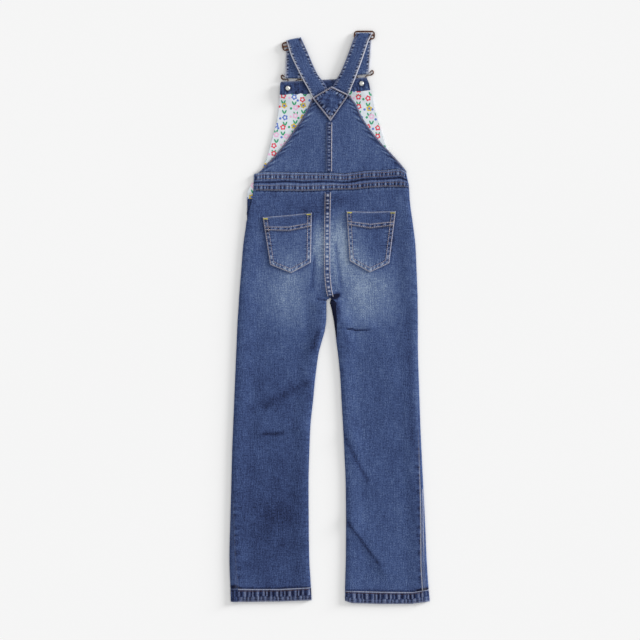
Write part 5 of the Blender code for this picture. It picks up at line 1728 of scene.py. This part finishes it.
# Rows of stitches: inside an edge or beside a seam's middle, in millimetres
POCKET_ROWS = (1.3, 7.2)
SEAM_ROW = 4.7
BIB_EDGE_ROW = 2.6
PATCH_ROW = 1.9
BIB_SEAM_ROW = [(3.2, 262.5), (2.8, 349.5)]

# Other rows, at a share of a pocket's, the waistband's or a hem's height
MOUTH_ROWS = (POCKET_MOUTH - 0.064, POCKET_MOUTH - 0.012)
BAND_ROWS = (0.85, 0.655, 0.265, 0.07)
HEM_ROW = 0.14

# A bar tack: the spacing of its threads, how far they lean and half their length
TACK_SPACING = 0.55
TACK_LEAN = 0.3
TACK_HALF = 1.1


def resting(piece, path):
    """Points of a path dropped on to a piece from above; a point that misses it is not a number."""
    tree = BVHTree.FromObject(bpy.data.objects[piece], bpy.context.evaluated_depsgraph_get())
    hits = [tree.ray_cast((x * MM, y * MM, 0.05), (0.0, 0.0, -1.0))[0] for x, y in path]
    return np.array([(*(hit / MM),) if hit else (math.nan,) * 3 for hit in hits])


def stitch_ends(piece, path, length, space):
    """Where each stitch of a row starts and ends, on the piece; stitches that miss it are left out."""
    path = np.array(path, float)
    run = length_along(path)
    start = np.arange(space, run[-1] - length, length + space)
    ends = [
        resting(piece, np.stack([np.interp(at, run, path[:, 0]), np.interp(at, run, path[:, 1])], axis=1))
        for at in (start, start + length)
    ]
    both = np.stack(ends, axis=1)
    return both[~np.isnan(both).any(axis=(1, 2))]


def stitches(name, ends, thick, material):
    """Stitches as one mesh: a five-sided section carried along each, thin at its ends and arched.

    A stitch's section is 1 in its middle and a third at its ends. Its middle stands up from the
    cloth by 0.4 of a thread, and its ends sink into it by a quarter.
    """
    along = ends[:, 1] - ends[:, 0]
    length = np.linalg.norm(along, axis=1, keepdims=True)
    along = along / length
    side_way = np.cross(along, (0.0, 0.0, 1.0))
    side_way /= np.linalg.norm(side_way, axis=1, keepdims=True)
    up = np.cross(side_way, along)
    share = np.array([0.0, 0.2, 0.5, 0.8, 1.0])
    size = np.array([0.35, 0.9, 1.0, 0.9, 0.35])[None, :, None, None] * thick / 2
    rise = np.array([-0.25, 0.25, 0.4, 0.25, -0.25])[None, :, None] * thick
    line = ends[:, :1] + (ends[:, 1:] - ends[:, :1]) * share[None, :, None] + rise * up[:, None]
    turn = np.radians([0.0, 72.0, 144.0, 216.0, 288.0])[None, None, :, None]
    ring = np.cos(turn) * side_way[:, None, None] + np.sin(turn) * up[:, None, None]
    points = line[:, :, None] + size * ring
    count, rows, sides = points.shape[:3]
    index = np.arange(rows * sides).reshape(rows, sides)
    after = np.roll(index, -1, axis=1)
    quads = np.stack([index[:-1], index[1:], after[1:], after[:-1]], axis=2).reshape(-1, 4)
    offsets = (np.arange(count) * rows * sides)[:, None, None]
    faces = (quads[None] + offsets).reshape(-1, 4).tolist()
    caps = np.stack([index[0], index[-1, ::-1]])
    faces += (caps[None] + offsets).reshape(-1, sides).tolist()
    piece = place(name, mesh_of(name, points.reshape(-1, 3), faces), material)
    return piece


def inset(path, by):
    """A path moved sideways, to its left, by a distance: each corner along its two edges' bisector."""
    path = np.array(path, float)
    way = np.diff(path, axis=0)
    way /= np.linalg.norm(way, axis=1, keepdims=True)
    left = np.stack([-way[:, 1], way[:, 0]], axis=1)
    before, after = np.vstack([left[:1], left]), np.vstack([left, left[-1:]])
    bisector = before + after
    return path + by * bisector * 2 / (bisector ** 2).sum(axis=1, keepdims=True)


def band_row(v):
    """A row of stitches along the waistband, at a share of its height."""
    x = np.linspace(-133.0, 136.0, 120)
    low, high = look_up(BAND_BOTTOM, "y", x, "x"), look_up(BAND_TOP, "y", x, "x")
    return np.stack([x, low + v * (high - low)], axis=1)


def hem_row(hem, v):
    """A row of stitches along a hem, at a share of its height from its top."""
    x = np.linspace(hem["x"].min() + 1.0, hem["x"].max() - 1.0, 90)
    top, low = look_up(hem, "top", x, "x"), look_up(hem, "bottom", x, "x")
    return np.stack([x, top + v * (low - top)], axis=1)


def centre_row(low, high, aside):
    """A row of stitches along the felled seam of the back."""
    y = np.linspace(low, high, 60)
    return np.stack([curve_through(SEAM_MIDDLE, "x", y) + aside, y], axis=1)


def bib_edge_row(edge, inside):
    """A row of stitches along a diagonal edge of the back bib."""
    y = np.linspace(268.0, 398.0, 60)
    return np.stack([look_up(edge, "x", y) + inside, y], axis=1)


class MakeSewing(bpy.types.Operator):
    """Rows of topstitching and the pockets' bar tacks"""

    bl_idname = "overalls.sewing"
    bl_label = "Sewing"

    def execute(self, context):
        look = context.scene.overalls_sewing
        tan, brown, dark = [], [], []
        for side in POCKETS:
            top, low = pocket_corners(side)
            rows = [inset(pocket_lines(side), by) for by in POCKET_ROWS]
            rows += [top + v * (low - top) for v in MOUTH_ROWS]
            tan += [(f"pocket_{side}_cloth", row) for row in rows]
        tan.append(("seat_seam_cloth", centre_row(37.5, 224.0, SEAM_ROW)))
        tan.append(("seat_seam_cloth", centre_row(37.5, 184.0, -SEAM_ROW)))
        brown.append(("seat_seam_cloth", centre_row(184.5, 224.0, -SEAM_ROW)))
        tan.append(("back_bib_seam_cloth", BIB_SEAM_ROW))
        brown += [("back_waistband_cloth", band_row(v)) for v in BAND_ROWS]
        for side, hem in (("left", LEFT_HEM), ("right", RIGHT_HEM)):
            dark.append((f"hem_back_{side}_cloth", hem_row(hem, HEM_ROW)))
        brown.append(("back_bib_left_cloth", bib_edge_row(BACK_BIB_LEFT, BIB_EDGE_ROW)))
        brown.append(("back_bib_right_cloth", bib_edge_row(BACK_BIB_RIGHT, -BIB_EDGE_ROW)))
        tan.append(("strap_patch_cloth", inset(PATCH_EDGES, -PATCH_ROW)))
        threads = (
            ("tan_topstitching", tan, cotton_thread("tan_cotton_thread", look.tan)),
            ("brown_topstitching", brown, cotton_thread("brown_cotton_thread", look.brown)),
            ("dark_topstitching", dark, cotton_thread("dark_brown_cotton_thread", look.dark)),
        )
        for name, rows, thread in threads:
            ends = [stitch_ends(piece, path, look.stitch, look.space) for piece, path in rows]
            stitches(name, np.concatenate(ends), look.thick, thread)
        tacks = []
        for piece, left, right, y in TACKS:
            for x in np.arange(left, right, TACK_SPACING):
                tacks.append(resting(piece, [(x, y - TACK_HALF), (x + TACK_LEAN, y + TACK_HALF)]))
        tacks = np.array(tacks)
        tacks = tacks[~np.isnan(tacks).any(axis=(1, 2))]
        stitches("bar_tacks", tacks, look.thick, cotton_thread("olive_cotton_thread", look.tack))
        return {"FINISHED"}


# The photograph is taken straight down from above the middle of the picture
LENS = 85.0
SENSOR = 36.0
CAMERA_AT = (-0.01755, -0.00495)
FLOOR_HALF = 4.0

# The soft light stands low on the right, a little towards the straps, so its shadows are long and soft
LIGHT_ABOVE = math.radians(11.0)
LIGHT_SPREAD = math.radians(16.0)
LIGHT_TURN = math.radians(25.0)


class MakeStage(bpy.types.Operator):
    """Pale floor, soft light from the upper right and the camera overhead"""

    bl_idname = "overalls.stage"
    bl_label = "Floor, light and camera"

    def execute(self, context):
        look = context.scene.overalls_stage
        scene = context.scene

        half = FLOOR_HALF / MM
        corners = np.array([(-half, -half, 0.0), (half, -half, 0.0), (half, half, 0.0), (-half, half, 0.0)])
        mesh = mesh_of("paper_floor", corners, [(0, 1, 2, 3)], smooth=False)
        mesh.materials.append(matt_white_paper(look.floor))
        floor = bpy.data.objects.new("paper_floor", mesh)
        scene.collection.objects.link(floor)

        sun = bpy.data.lights.new("key_light", "SUN")
        sun.energy = look.key
        sun.angle = LIGHT_SPREAD
        lamp = bpy.data.objects.new("key_light", sun)
        lamp.rotation_euler = (0.0, math.pi / 2 - LIGHT_ABOVE, LIGHT_TURN)
        scene.collection.objects.link(lamp)

        world = bpy.data.worlds.new("light_tent")
        world.use_nodes = True
        sky = next(made for made in world.node_tree.nodes if made.type == "BACKGROUND")
        sky.inputs["Color"].default_value = (1.0, 1.0, 1.0, 1.0)
        sky.inputs["Strength"].default_value = look.fill
        scene.world = world
        scene.view_settings.view_transform = "Standard"

        lens = bpy.data.cameras.new("overhead_camera")
        lens.lens = LENS
        lens.sensor_width = SENSOR
        camera = bpy.data.objects.new("overhead_camera", lens)
        camera.location = (*CAMERA_AT, look.camera_height)
        scene.collection.objects.link(camera)
        scene.camera = camera
        return {"FINISHED"}


OPERATORS = [
    MakeLegs, MakeHems, MakeWaistband, MakeFrontBib, MakeBackBib, MakeSeat, MakeStraps, MakePatch,
    MakeSideOpening, MakeHardware, MakeSewing, MakeStage,
]


class OverallsPanel(bpy.types.Panel):
    """Lists the overalls' pieces and settings"""

    bl_idname = "VIEW3D_PT_overalls"
    bl_label = "Denim overalls"
    bl_space_type = "VIEW_3D"
    bl_region_type = "UI"
    bl_category = "Overalls"

    def draw(self, context):
        for name, group in SETTINGS.items():
            box = self.layout.box()
            for setting in group.__annotations__:
                box.prop(getattr(context.scene, name), setting)
        for operator in OPERATORS:
            self.layout.operator(operator.bl_idname)


def register():
    for group in (*SETTINGS.values(), *OPERATORS, OverallsPanel):
        bpy.utils.register_class(group)
    for name, group in SETTINGS.items():
        setattr(bpy.types.Scene, name, bpy.props.PointerProperty(type=group))


def unregister():
    for name in SETTINGS:
        delattr(bpy.types.Scene, name)
    for group in reversed((*SETTINGS.values(), *OPERATORS, OverallsPanel)):
        bpy.utils.unregister_class(group)


def main():
    """Make every piece in turn."""
    register()
    for operator in OPERATORS:
        group, name = operator.bl_idname.split(".")
        getattr(getattr(bpy.ops, group), name)()


if __name__ == "__main__":
    main()
